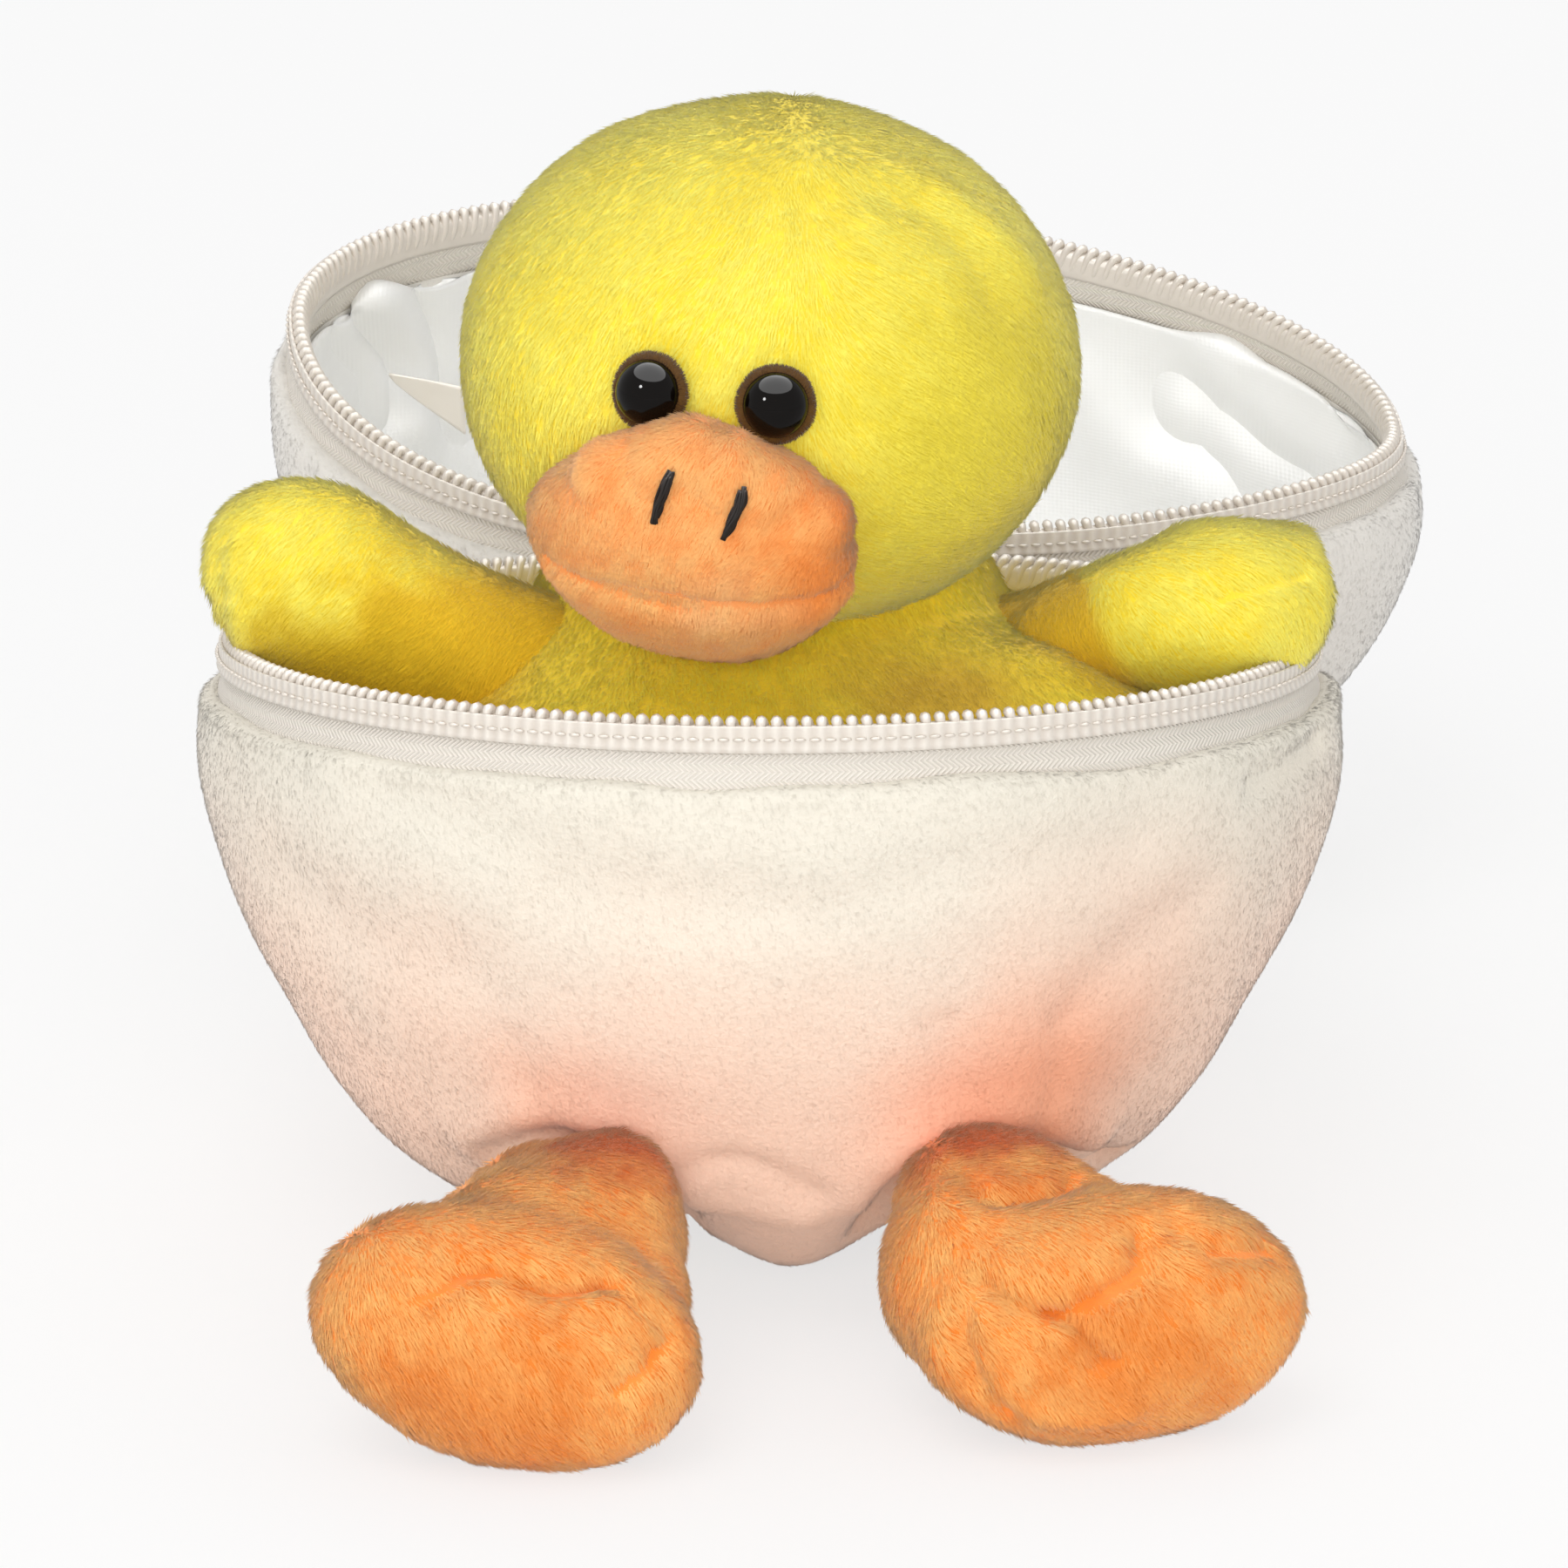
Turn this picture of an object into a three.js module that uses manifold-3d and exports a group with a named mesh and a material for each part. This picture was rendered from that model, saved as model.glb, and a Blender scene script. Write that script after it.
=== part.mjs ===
// Plush duck sitting in a zip-up egg. The egg is open: its lid lies behind it on a sewn hinge, and the
// duck sits in the lower half with its wings over the rim and its feet out in front.
// Millimetres, +Z up. The origin is on the table under the middle of the lower half, -Y is the front.
// Left and right are those of somebody facing the toy, so left is -X.
import * as THREE from "three";
import { mergeVertices } from "three/addons/utils/BufferGeometryUtils.js";
import Module from "manifold-3d";

const wasm = await Module();
wasm.setup();

const degree = Math.PI / 180;
const fullTurn = 2 * Math.PI;
const upward = new THREE.Vector3(0, 0, 1);

// Clearances between pieces that are sewn or pressed together
const seamGap = 0.3;
const cutOverrun = 40;

// Lower half of the egg
const eggHalfWidth = 58;
const eggHalfDepth = 57;
const eggHingeReach = 54; // the rim runs straight along the hinge, this far behind its middle
const eggRimHeight = 61;
const eggLean = 10 * degree;

// Lid, lying open on the table behind
const lidHalfWidth = 65.4;
const lidHalfDepth = 49.5;
const lidHingeReach = 47;
const lidSideShift = 9;
const lidPitch = 6.5 * degree; // its rim rises towards the back
// both rims are level with each other at the hinge
const eggHingeHeight = eggRimHeight - eggHingeReach * Math.sin(eggLean);
const lidRimHeight = eggHingeHeight + lidHingeReach * Math.sin(lidPitch) + seamGap;
const lidTwist = 6.6 * degree; // and its left side lifts
const shellGap = 2; // between the two halves below the hinge

// Walls of the egg
const plushWall = 2.6;
const liningWall = 0.8;
const liningStart = 1;
const hingeSoftness = 2; // rounds the rim into its straight stretch

// Zip
const tapeHeight = 4.7;
const tapeWall = 1.4;
const tapeInset = 1.2;
const chainHeight = 2.8;
const chainWall = 2.2;
const chainInset = 0.5;
const gussetHalfWidth = 17;
const gussetShift = 2.5;
const gussetWall = 1;
const hingeClearance = 0.2;
const stopLength = 2.4;
const stopClearance = 0.5; // between a stop and the hinge

// Zip slider and its pull
const sliderLength = 8;
const sliderHeight = 6.2;
const sliderDepth = 4.6;
const sliderChannel = 2.4;
const sliderClearance = 1.1; // to the hinge and to the chain
const bailStandOff = 1.5;
const bailBar = 1.1;
const bailPost = 1;
const pullLength = 10;
const pullWidth = 3.6;
const pullWall = 1;
const pullClearance = 0.35;

// Torso
const torsoClearance = 0.6; // to the lining
const torsoShoulder = 40; // half its width where it comes out of the egg
const torsoShoulderDepth = 36; // and half its depth
const torsoTop = 19.5; // above the rim
const torsoSink = 7; // its edge lies this far below the rim

// Head
const headHalfWidth = 32.3;
const headHalfDepth = 31;
const headHalfHeight = 27.4;
const headSideShift = 0;
const headForward = 8;
const headAboveRim = 34; // from the rim's middle up to the head's
const headYaw = -10.8 * degree;
const headRoll = 2.5 * degree;

// Bill
const billHalfWidth = 17.2;
const billAbove = 10.7; // from its middle up to the eyes
const billPeak = 3.2; // the small point between the eyes
const billBelow = 14;
const billThickness = 9;
const billPitch = 18.6 * degree; // its middle is this far below the head's level
const billTurn = -3.2 * degree;
const billRoll = 4.5 * degree;
const mouthPitch = 21 * degree;
const nostrilLength = 5.8;
const nostrilWidth = 1.3;
const nostrilStand = 0.9;
const nostrilSpacing = 7;
const nostrilShift = 1.7; // to the right of the bill's middle
const nostrilRise = 6.9; // above the bill's middle
const nostrilRoll = 7 * degree;

// Eyes
const eyeRadius = 3.3;
const eyeDome = 2.6;
const eyeFlange = 0.6;
const eyeBackingRadius = 4.3;
const eyeBackingWall = 0.8;
const eyeShankRadius = 1.2;
const eyeShankLength = 8.5;
const eyeSpacing = 12.6;
const eyeBillGap = 0.5; // between the bill and the ring round an eye
const eyeRise = (billAbove + eyeBillGap + eyeBackingRadius) / headHalfDepth - billPitch;
const washerRadius = 4.4;
const washerWall = 1.2;
const washerDepth = 4.2; // below the head's surface
const boreClearance = 0.25;

// Wings
const wingRootInset = 7; // its seam lies this far inside the shoulder
const wingLeftRootForward = 4;
const wingLeftRootRise = 7.6; // above the plane of the rim
const wingLeftTipForward = 8.5;
const wingLeftTipRise = 13;
const wingLeftOverhang = 1; // past the rim
const wingRightRootForward = 6;
const wingRightRootRise = 6;
const wingRightTipForward = 22;
const wingRightTipRise = 7.8;
const wingRightOverhang = -1.2;
const wingHalfHeight = 9.9;
const wingHalfThickness = 9.4;
const wingLift = 36 * degree; // how far a wing swings up from the rim

// Legs and feet
const legRadius = 9.2;
const legLift = 45 * degree; // how far a foot swings up from the table
const legSeamHeight = 20.8; // of its seam, from the bottom of the wall
const legLeftPlace = -107 * degree; // round the rim, with the front at -90
const legRightPlace = -67.5 * degree;
const legLeftReach = new THREE.Vector2(-9.1, -16); // from its seam to its foot
const legRightReach = new THREE.Vector2(12.2, -12);
const footHalfLength = 20.1;
const footHalfHeight = 13;
const footHalfThickness = 9.4;
const footLeftTurn = -6 * degree;
const footRightTurn = 14 * degree;
const footLeftRoll = 12 * degree;
const footRightRoll = 0 * degree;
const footPress = 0.5; // a foot is pressed flat this deep where it stands

// Care label inside the lid
const labelLength = 8;
const labelHeight = 6;
const labelWall = 0.6;
const labelDrop = 13; // its middle below the lid's rim

// How finely the round forms are faceted
const rimSteps = 36;
const bodySteps = 28;
const limbSteps = 16;
const turnedSteps = 12;
const billSteps = 24;

// The egg's outline from rim to table: shares of the rim's radius and of the rim's height
const eggRadiusShares = [1, 1.022, 1.034, 1.0, 0.95, 0.885, 0.805, 0.69, 0.52, 0.34];
const eggDepthShares = [0, 0.075, 0.175, 0.35, 0.485, 0.605, 0.735, 0.855, 0.95, 1];

const fabrics = {
  creamPlush: new THREE.MeshStandardMaterial({ color: 0xf1e4d4, roughness: 0.95 }),
  whitePlush: new THREE.MeshStandardMaterial({ color: 0xf0ece4, roughness: 0.95 }),
  lining: new THREE.MeshStandardMaterial({ color: 0xefefec, roughness: 0.6 }),
  zipTape: new THREE.MeshStandardMaterial({ color: 0xeae6de, roughness: 0.7 }),
  zipCoil: new THREE.MeshStandardMaterial({ color: 0xf4f2ee, roughness: 0.35 }),
  sliderMetal: new THREE.MeshStandardMaterial({ color: 0xf0efec, roughness: 0.3, metalness: 0.2 }),
  yellowPlush: new THREE.MeshStandardMaterial({ color: 0xf0dc40, roughness: 0.95 }),
  billPlush: new THREE.MeshStandardMaterial({ color: 0xf7a667, roughness: 0.95 }),
  footPlush: new THREE.MeshStandardMaterial({ color: 0xf79e4d, roughness: 0.95 }),
  eyeBlack: new THREE.MeshStandardMaterial({ color: 0x0b0a09, roughness: 0.08 }),
  eyeBrown: new THREE.MeshStandardMaterial({ color: 0x4a2c10, roughness: 0.7 }),
  thread: new THREE.MeshStandardMaterial({ color: 0x1c1412, roughness: 0.6 }),
  washerPlastic: new THREE.MeshStandardMaterial({ color: 0xe8e8e6, roughness: 0.5 }),
  label: new THREE.MeshStandardMaterial({ color: 0xf3efe6, roughness: 0.4 }),
};

// A closed mesh through rings of points, each end closed by a fan to its middle. Faces point out.
function skinOver(rings) {
  const around = rings[0].length;
  const points = rings.flat();
  const middleOf = (ring) => ring.reduce((sum, p) => sum.add(p), new THREE.Vector3()).divideScalar(around);
  points.push(middleOf(rings[0]), middleOf(rings.at(-1)));
  const firstMiddle = points.length - 2;
  const lastMiddle = points.length - 1;
  const index = [];
  for (let k = 0; k < around; k++) {
    const next = (k + 1) % around;
    index.push(firstMiddle, next, k);
    for (let row = 0; row < rings.length - 1; row++) {
      const here = row * around;
      const there = here + around;
      index.push(here + k, here + next, there + next, here + k, there + next, there + k);
    }
    const lastRow = (rings.length - 1) * around;
    index.push(lastMiddle, lastRow + k, lastRow + next);
  }
  let volume = 0;
  for (let i = 0; i < index.length; i += 3) {
    const [a, b, c] = [points[index[i]], points[index[i + 1]], points[index[i + 2]]];
    volume += a.dot(new THREE.Vector3().crossVectors(b, c));
  }
  if (volume < 0) index.reverse();
  return new THREE.BufferGeometry().setFromPoints(points).setIndex(index);
}

function solidFrom(geometry) {
  const bare = geometry.clone();
  bare.deleteAttribute("normal");
  bare.deleteAttribute("uv");
  const merged = mergeVertices(bare);
  return new wasm.Manifold(
    new wasm.Mesh({
      numProp: 3,
      vertProperties: new Float32Array(merged.attributes.position.array),
      triVerts: new Uint32Array(merged.index.array),
    }),
  );
}

function geometryFrom(solid) {
  const made = solid.getMesh();
  return new THREE.BufferGeometry()
    .setAttribute("position", new THREE.BufferAttribute(new Float32Array(made.vertProperties), 3))
    .setIndex(new THREE.BufferAttribute(new Uint32Array(made.triVerts), 1));
}

const cut = (geometry, ...tools) =>
  geometryFrom(tools.reduce((solid, tool) => solid.subtract(solidFrom(tool)), solidFrom(geometry)));

const join = (...geometries) =>
  geometryFrom(geometries.map(solidFrom).reduce((whole, piece) => whole.add(piece)));

function block(low, high) {
  const size = new THREE.Vector3().subVectors(high, low);
  const middle = new THREE.Vector3().addVectors(low, high).divideScalar(2);
  return new THREE.BoxGeometry(size.x, size.y, size.z).translate(middle.x, middle.y, middle.z);
}

function named(name, geometry, material) {
  const mesh = new THREE.Mesh(geometry, material);
  mesh.name = name;
  return mesh;
}

// The straight stretch of a rim beside the hinge: a smooth limit on how far back the rim reaches
const softLimit = (value, limit) =>
  -hingeSoftness * Math.log(Math.exp(-value / hingeSoftness) + Math.exp(-limit / hingeSoftness));

const lowerHalf = {
  halfWidth: eggHalfWidth,
  halfDepth: eggHalfDepth,
  hingeReach: eggHingeReach,
  rimHeight: eggRimHeight,
  hingeSide: 1,
  middle: new THREE.Vector2(0, 0),
  rise: (x, y) => -y * Math.sin(eggLean),
};

const widestShare = Math.max(...eggRadiusShares);
const lidMiddleY = (eggHingeReach + lidHingeReach) * widestShare + shellGap;
const lidHalf = {
  halfWidth: lidHalfWidth,
  halfDepth: lidHalfDepth,
  hingeReach: lidHingeReach,
  rimHeight: lidRimHeight,
  hingeSide: -1,
  middle: new THREE.Vector2(lidSideShift, lidMiddleY),
  rise: (x, y) => {
    const fromHinge = THREE.MathUtils.clamp((y + lidHingeReach) / lidHingeReach, 0, 1);
    return y * Math.sin(lidPitch) - x * Math.sin(lidTwist) * fromHinge;
  },
};

function radiusShareAt(depthShare) {
  const next = Math.max(1, eggDepthShares.findIndex((share) => share >= depthShare));
  const [low, high] = [eggDepthShares[next - 1], eggDepthShares[next]];
  const between = (depthShare - low) / (high - low);
  return THREE.MathUtils.lerp(eggRadiusShares[next - 1], eggRadiusShares[next], between);
}

// How the wall of a half faces at a depth: its slope out and down, as a unit vector
function wallFacing(half, depthShare) {
  const step = 0.02;
  const [above, below] = [Math.max(depthShare - step, 0), Math.min(depthShare + step, 1)];
  const narrowing = (radiusShareAt(above) - radiusShareAt(below)) * half.halfWidth;
  const drop = (below - above) * half.rimHeight;
  const facing = new THREE.Vector2(drop, narrowing).normalize();
  return depthShare < 1 ? facing : new THREE.Vector2(0, 1);
}

// A point of a half's wall: an angle round the rim, a depth below it and an inset into the wall
function wallPoint(half, angle, depth, inset) {
  const depthShare = THREE.MathUtils.clamp(depth / half.rimHeight, 0, 1);
  const facing = wallFacing(half, depthShare);
  const planX = half.halfWidth * Math.cos(angle);
  const reach = half.halfDepth * Math.sin(angle) * half.hingeSide;
  const planY = half.hingeSide * (reach > 0 ? softLimit(reach, half.hingeReach) : reach);
  const share = radiusShareAt(depthShare) - (inset * facing.x) / Math.hypot(planX, planY);
  const [x, y] = [planX * share, planY * share];
  const down = Math.max(depth, 0) - inset * facing.y;
  const level = Math.min(1, 1 - down / half.rimHeight);
  const z = level * (half.rimHeight + half.rise(x, y)) + Math.max(-depth, 0);
  return new THREE.Vector3(half.middle.x + x, half.middle.y + y, z);
}

function wallRing(half, depth, inset) {
  return Array.from({ length: rimSteps }, (_, k) => wallPoint(half, (k / rimSteps) * fullTurn, depth, inset));
}

// A bowl between two insets, open at the rim and flat where it stands
function bowl(half, start, outerInset, wall) {
  const rows = eggDepthShares.map((share) => share * half.rimHeight);
  const depths = [start, ...rows.filter((depth) => depth > start + seamGap)];
  const outside = depths.map((depth) => wallRing(half, depth, outerInset)).reverse();
  const inside = depths.map((depth) => wallRing(half, depth, outerInset + wall));
  return skinOver([...outside, ...inside]);
}

// The room that the lower half and its zip take up, with a seam's gap all round
function eggEnvelope() {
  const rimTop = wallRing(lowerHalf, -2 * seamGap - chainHeight, -seamGap);
  const depths = eggDepthShares.map((share) => share * lowerHalf.rimHeight);
  return skinOver([...depths.map((depth) => wallRing(lowerHalf, depth, -seamGap)).reverse(), rimTop]);
}

// A strip of rectangular section along part of a rim
function rimStrip(half, fromAngle, toAngle, top, bottom, inset, wall) {
  const facet = fullTurn / rimSteps;
  const firstFacet = Math.ceil(fromAngle / facet + 0.1);
  const lastFacet = Math.floor(toAngle / facet - 0.1);
  const facetCount = Math.max(0, lastFacet - firstFacet + 1);
  const corners = Array.from({ length: facetCount }, (_, k) => (firstFacet + k) * facet);
  const sections = [fromAngle, ...corners, toAngle].map((angle) => [
    wallPoint(half, angle, top, inset),
    wallPoint(half, angle, top, inset + wall),
    wallPoint(half, angle, bottom, inset + wall),
    wallPoint(half, angle, bottom, inset),
  ]);
  return skinOver(sections);
}

// A stuffed form along a line: rings whose half height and half thickness swell and taper
function stuffedForm(from, to, shares, heightShares, halfHeight, halfThickness, sag = 0) {
  const along = new THREE.Vector3().subVectors(to, from);
  const side = new THREE.Vector3().crossVectors(along, upward).normalize();
  const rise = new THREE.Vector3().crossVectors(side, along).normalize();
  const rings = shares.map((share, i) => {
    const middle = from.clone().addScaledVector(along, share);
    middle.z -= sag * Math.sin(Math.PI * share);
    return Array.from({ length: limbSteps }, (_, k) => {
      const angle = (k / limbSteps) * fullTurn;
      return middle
        .clone()
        .addScaledVector(side, halfThickness * heightShares[i] * Math.cos(angle))
        .addScaledVector(rise, halfHeight * heightShares[i] * Math.sin(angle));
    });
  });
  return skinOver(rings);
}

// The head's ellipsoid, with its middle at the origin
function headForm(grow) {
  const rows = bodySteps / 2;
  const rings = Array.from({ length: rows - 1 }, (_, row) => {
    const down = ((row + 1) / rows) * Math.PI;
    return Array.from({ length: bodySteps }, (_, k) => {
      const angle = (k / bodySteps) * fullTurn;
      return new THREE.Vector3(
        (headHalfWidth + grow) * Math.sin(down) * Math.cos(angle),
        (headHalfDepth + grow) * Math.sin(down) * Math.sin(angle),
        (headHalfHeight + grow) * Math.cos(down),
      );
    });
  });
  return skinOver(rings);
}

// The head's surface in a direction from its middle: a turn to the right and a rise, with 0, 0 at the front
function headSurface(turn, rise) {
  const level = Math.cos(rise);
  const way = new THREE.Vector3(Math.sin(turn) * level, -Math.cos(turn) * level, Math.sin(rise));
  const reach = 1 / Math.hypot(way.x / headHalfWidth, way.y / headHalfDepth, way.z / headHalfHeight);
  return { point: way.clone().multiplyScalar(reach), way, reach };
}

function lowerShell() {
  const start = tapeHeight + seamGap;
  return named("lower_shell", bowl(lowerHalf, start, 0, plushWall), fabrics.creamPlush);
}

function lowerLining() {
  return named("lower_lining", bowl(lowerHalf, liningStart, plushWall + seamGap, liningWall), fabrics.lining);
}

function lidShell() {
  const start = tapeHeight + seamGap;
  return named("lid_shell", bowl(lidHalf, start, 0, plushWall), fabrics.whitePlush);
}

function lidLining() {
  return named("lid_lining", bowl(lidHalf, liningStart, plushWall + seamGap, liningWall), fabrics.lining);
}

// Angles round each rim where the zip ends, either side of the hinge
const hingeAngle = { lower: Math.PI / 2, lid: 1.5 * Math.PI };
const angleAt = (half, x) => Math.acos((x - half.middle.x) / half.halfWidth);
const zipLeftX = gussetShift - gussetHalfWidth;
const zipRightX = gussetShift + gussetHalfWidth;
const lowerZip = { from: angleAt(lowerHalf, zipLeftX), to: fullTurn + angleAt(lowerHalf, zipRightX) };
const lidZip = { from: -angleAt(lidHalf, zipRightX), to: fullTurn - angleAt(lidHalf, zipLeftX) };
const alongRim = (half, length) => length / half.halfWidth;

function zipTapes() {
  const strip = (half, zip) => rimStrip(half, zip.from, zip.to, 0, tapeHeight, tapeInset, tapeWall);
  return {
    lower: named("lower_zip_tape", strip(lowerHalf, lowerZip), fabrics.zipTape),
    lid: named("lid_zip_tape", strip(lidHalf, lidZip), fabrics.zipTape),
  };
}

function zipChains() {
  const strip = (half, from, to) =>
    rimStrip(half, from, to, -seamGap - chainHeight, -seamGap, chainInset, chainWall);
  const stop = stopClearance + stopLength + seamGap;
  const slider = sliderLength + 2 * sliderClearance;
  return {
    lower: named(
      "lower_zip_chain",
      strip(lowerHalf, lowerZip.from + alongRim(lowerHalf, slider), lowerZip.to - alongRim(lowerHalf, stop)),
      fabrics.zipCoil,
    ),
    lid: named(
      "lid_zip_chain",
      strip(lidHalf, lidZip.from + alongRim(lidHalf, stop), lidZip.to - alongRim(lidHalf, slider)),
      fabrics.zipCoil,
    ),
  };
}

function zipStops() {
  const strip = (half, from) => {
    const to = from + alongRim(half, stopLength);
    return rimStrip(half, from, to, -seamGap - chainHeight, -seamGap, chainInset, chainWall);
  };
  return {
    lower: named(
      "lower_zip_stop",
      strip(lowerHalf, lowerZip.to - alongRim(lowerHalf, stopClearance + stopLength)),
      fabrics.washerPlastic,
    ),
    lid: named(
      "lid_zip_stop",
      strip(lidHalf, lidZip.from + alongRim(lidHalf, stopClearance)),
      fabrics.washerPlastic,
    ),
  };
}

// The hinge is a fabric strip that folds on one line, so it is two leaves that meet on that line
const lowerHingeEdge = wallPoint(lowerHalf, hingeAngle.lower, 0, tapeInset);
const lidHingeEdge = wallPoint(lidHalf, hingeAngle.lid, 0, tapeInset);
const hingeLine = new THREE.Vector3(
  gussetShift,
  (lowerHingeEdge.y + lidHingeEdge.y) / 2,
  Math.max(lowerHingeEdge.z, lidHingeEdge.z) + seamGap,
);

function hingeLeaves() {
  const leaf = (near, far) =>
    block(
      new THREE.Vector3(zipLeftX, near, hingeLine.z - gussetWall),
      new THREE.Vector3(zipRightX, far, hingeLine.z),
    );
  return {
    lower: named(
      "hinge_gusset_lower",
      leaf(lowerHingeEdge.y + seamGap, hingeLine.y - hingeClearance),
      fabrics.lining,
    ),
    lid: named(
      "hinge_gusset_lid",
      leaf(hingeLine.y + hingeClearance, lidHingeEdge.y - seamGap),
      fabrics.lining,
    ),
  };
}

// The slider stands on the tape at the zip's left end. Its own X runs along the rim and its Y outwards.
function zipSlider() {
  const angle = lowerZip.from + alongRim(lowerHalf, sliderClearance + sliderLength / 2);
  const foot = wallPoint(lowerHalf, angle, -seamGap, chainInset + chainWall / 2);
  const [before, after] = [-1, 1].map((way) =>
    wallPoint(lowerHalf, angle + way * alongRim(lowerHalf, sliderLength / 2), -seamGap, chainInset),
  );
  const along = new THREE.Vector3().subVectors(before, after);
  const group = new THREE.Group();
  group.position.copy(foot);
  group.position.z = Math.max(before.z, after.z);
  group.rotation.z = Math.atan2(along.y, along.x);

  const half = sliderDepth / 2;
  const body = block(
    new THREE.Vector3(-sliderLength / 2, -half, 0),
    new THREE.Vector3(sliderLength / 2, half, sliderHeight),
  );
  const channel = block(
    new THREE.Vector3(-cutOverrun, -sliderChannel / 2, (sliderHeight - sliderChannel) / 2),
    new THREE.Vector3(0, sliderChannel / 2, (sliderHeight + sliderChannel) / 2),
  );
  const bailMiddle = sliderHeight / 2;
  const bailReach = pullWidth / 2 + pullClearance;
  const bar = block(
    new THREE.Vector3(-bailReach, half + bailStandOff, bailMiddle - bailBar / 2),
    new THREE.Vector3(bailReach, half + bailStandOff + bailBar, bailMiddle + bailBar / 2),
  );
  const posts = [-1, 1].map((side) =>
    block(
      new THREE.Vector3(
        Math.min(side * bailReach, side * (bailReach + bailPost)),
        half,
        bailMiddle - bailBar / 2,
      ),
      new THREE.Vector3(
        Math.max(side * bailReach, side * (bailReach + bailPost)),
        half + bailStandOff + bailBar,
        bailMiddle + bailBar / 2,
      ),
    ),
  );
  const slider = named("zip_slider", join(cut(body, channel), bar, ...posts), fabrics.sliderMetal);

  const barMiddle = new THREE.Vector3(0, half + bailStandOff + bailBar / 2, bailMiddle);
  const eye = bailBar / 2 + pullClearance;
  const rim = eye + pullWall / 2;
  const tab = new THREE.Shape();
  tab.absarc(0, -pullLength + pullWidth / 2, pullWidth / 2, Math.PI, fullTurn);
  tab.lineTo(pullWidth / 2, -rim);
  tab.lineTo(-pullWidth / 2, -rim);
  const tabSolid = new THREE.ExtrudeGeometry(tab, { depth: pullWall, bevelEnabled: false, curveSegments: 6 })
    .rotateX(Math.PI / 2)
    .translate(0, pullWall / 2, 0);
  const ring = block(
    new THREE.Vector3(-pullWidth / 2, -rim, -rim - pullWall),
    new THREE.Vector3(pullWidth / 2, rim, rim),
  );
  const hole = block(
    new THREE.Vector3(-cutOverrun, -eye, -eye),
    new THREE.Vector3(cutOverrun, eye, eye),
  );
  const pull = named("zip_pull", cut(join(tabSolid, ring), hole), fabrics.sliderMetal);
  pull.position.copy(barMiddle);
  group.add(slider, pull);
  return group;
}

// The torso fills the lower half like a stuffed cushion and narrows to the chest above the rim
function torsoForm(grow) {
  const inset = plushWall + liningWall + 2 * seamGap + torsoClearance - grow;
  const packedShares = [0.25, 0.35, 0.485, 0.605, 0.735, 0.855, 0.95, 1];
  const packed = packedShares.map((share) => wallRing(lowerHalf, share * eggRimHeight, inset)).reverse();
  const shoulderShares = [1.3, 1.2, 1, 0.86, 0.72, 0.5];
  const riseShares = [-1, -0.55, 0, 0.42, 0.76, 1];
  const shoulders = shoulderShares.map((share, i) =>
    Array.from({ length: rimSteps }, (_, k) => {
      const angle = (k / rimSteps) * fullTurn;
      const x = (torsoShoulder * share + grow) * Math.cos(angle);
      const reach = (torsoShoulderDepth * share + grow) * Math.sin(angle);
      const y = Math.min(reach, lowerHalf.hingeReach - inset);
      const rise = riseShares[i] < 0 ? riseShares[i] * torsoSink : riseShares[i] * torsoTop;
      const lean = y * Math.sin(eggLean) * Math.max(0, 1 - Math.max(0, 2 * riseShares[i]));
      return new THREE.Vector3(x, y, eggRimHeight + rise + grow - lean);
    }),
  );
  return skinOver([...packed, ...shoulders]);
}

function duckTorso() {
  const socket = headForm(seamGap);
  placeHead(new THREE.Group(), (matrix) => socket.applyMatrix4(matrix));
  return named("duck_torso", cut(torsoForm(0), socket), fabrics.yellowPlush);
}

function placeHead(group, use = () => {}) {
  group.position.set(headSideShift, -headForward, eggRimHeight + headAboveRim);
  group.rotation.set(0, headRoll, headYaw, "ZYX");
  group.updateMatrix();
  use(group.matrix);
  return group;
}

// A round piece set on the head and facing out: its own Z points out of the head
function facingOut(mesh, turn, rise, stand) {
  const { point } = headSurface(turn, rise);
  const out = new THREE.Vector3(
    point.x / headHalfWidth ** 2,
    point.y / headHalfDepth ** 2,
    point.z / headHalfHeight ** 2,
  ).normalize();
  mesh.position.copy(point).addScaledVector(out, stand);
  mesh.quaternion.setFromUnitVectors(new THREE.Vector3(0, 0, 1), out);
  mesh.updateMatrix();
  return mesh;
}

const eyeTurn = Math.asin(eyeSpacing / 2 / headHalfDepth);
const turned = (points) => new THREE.LatheGeometry(points, turnedSteps).rotateX(Math.PI / 2);

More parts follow.
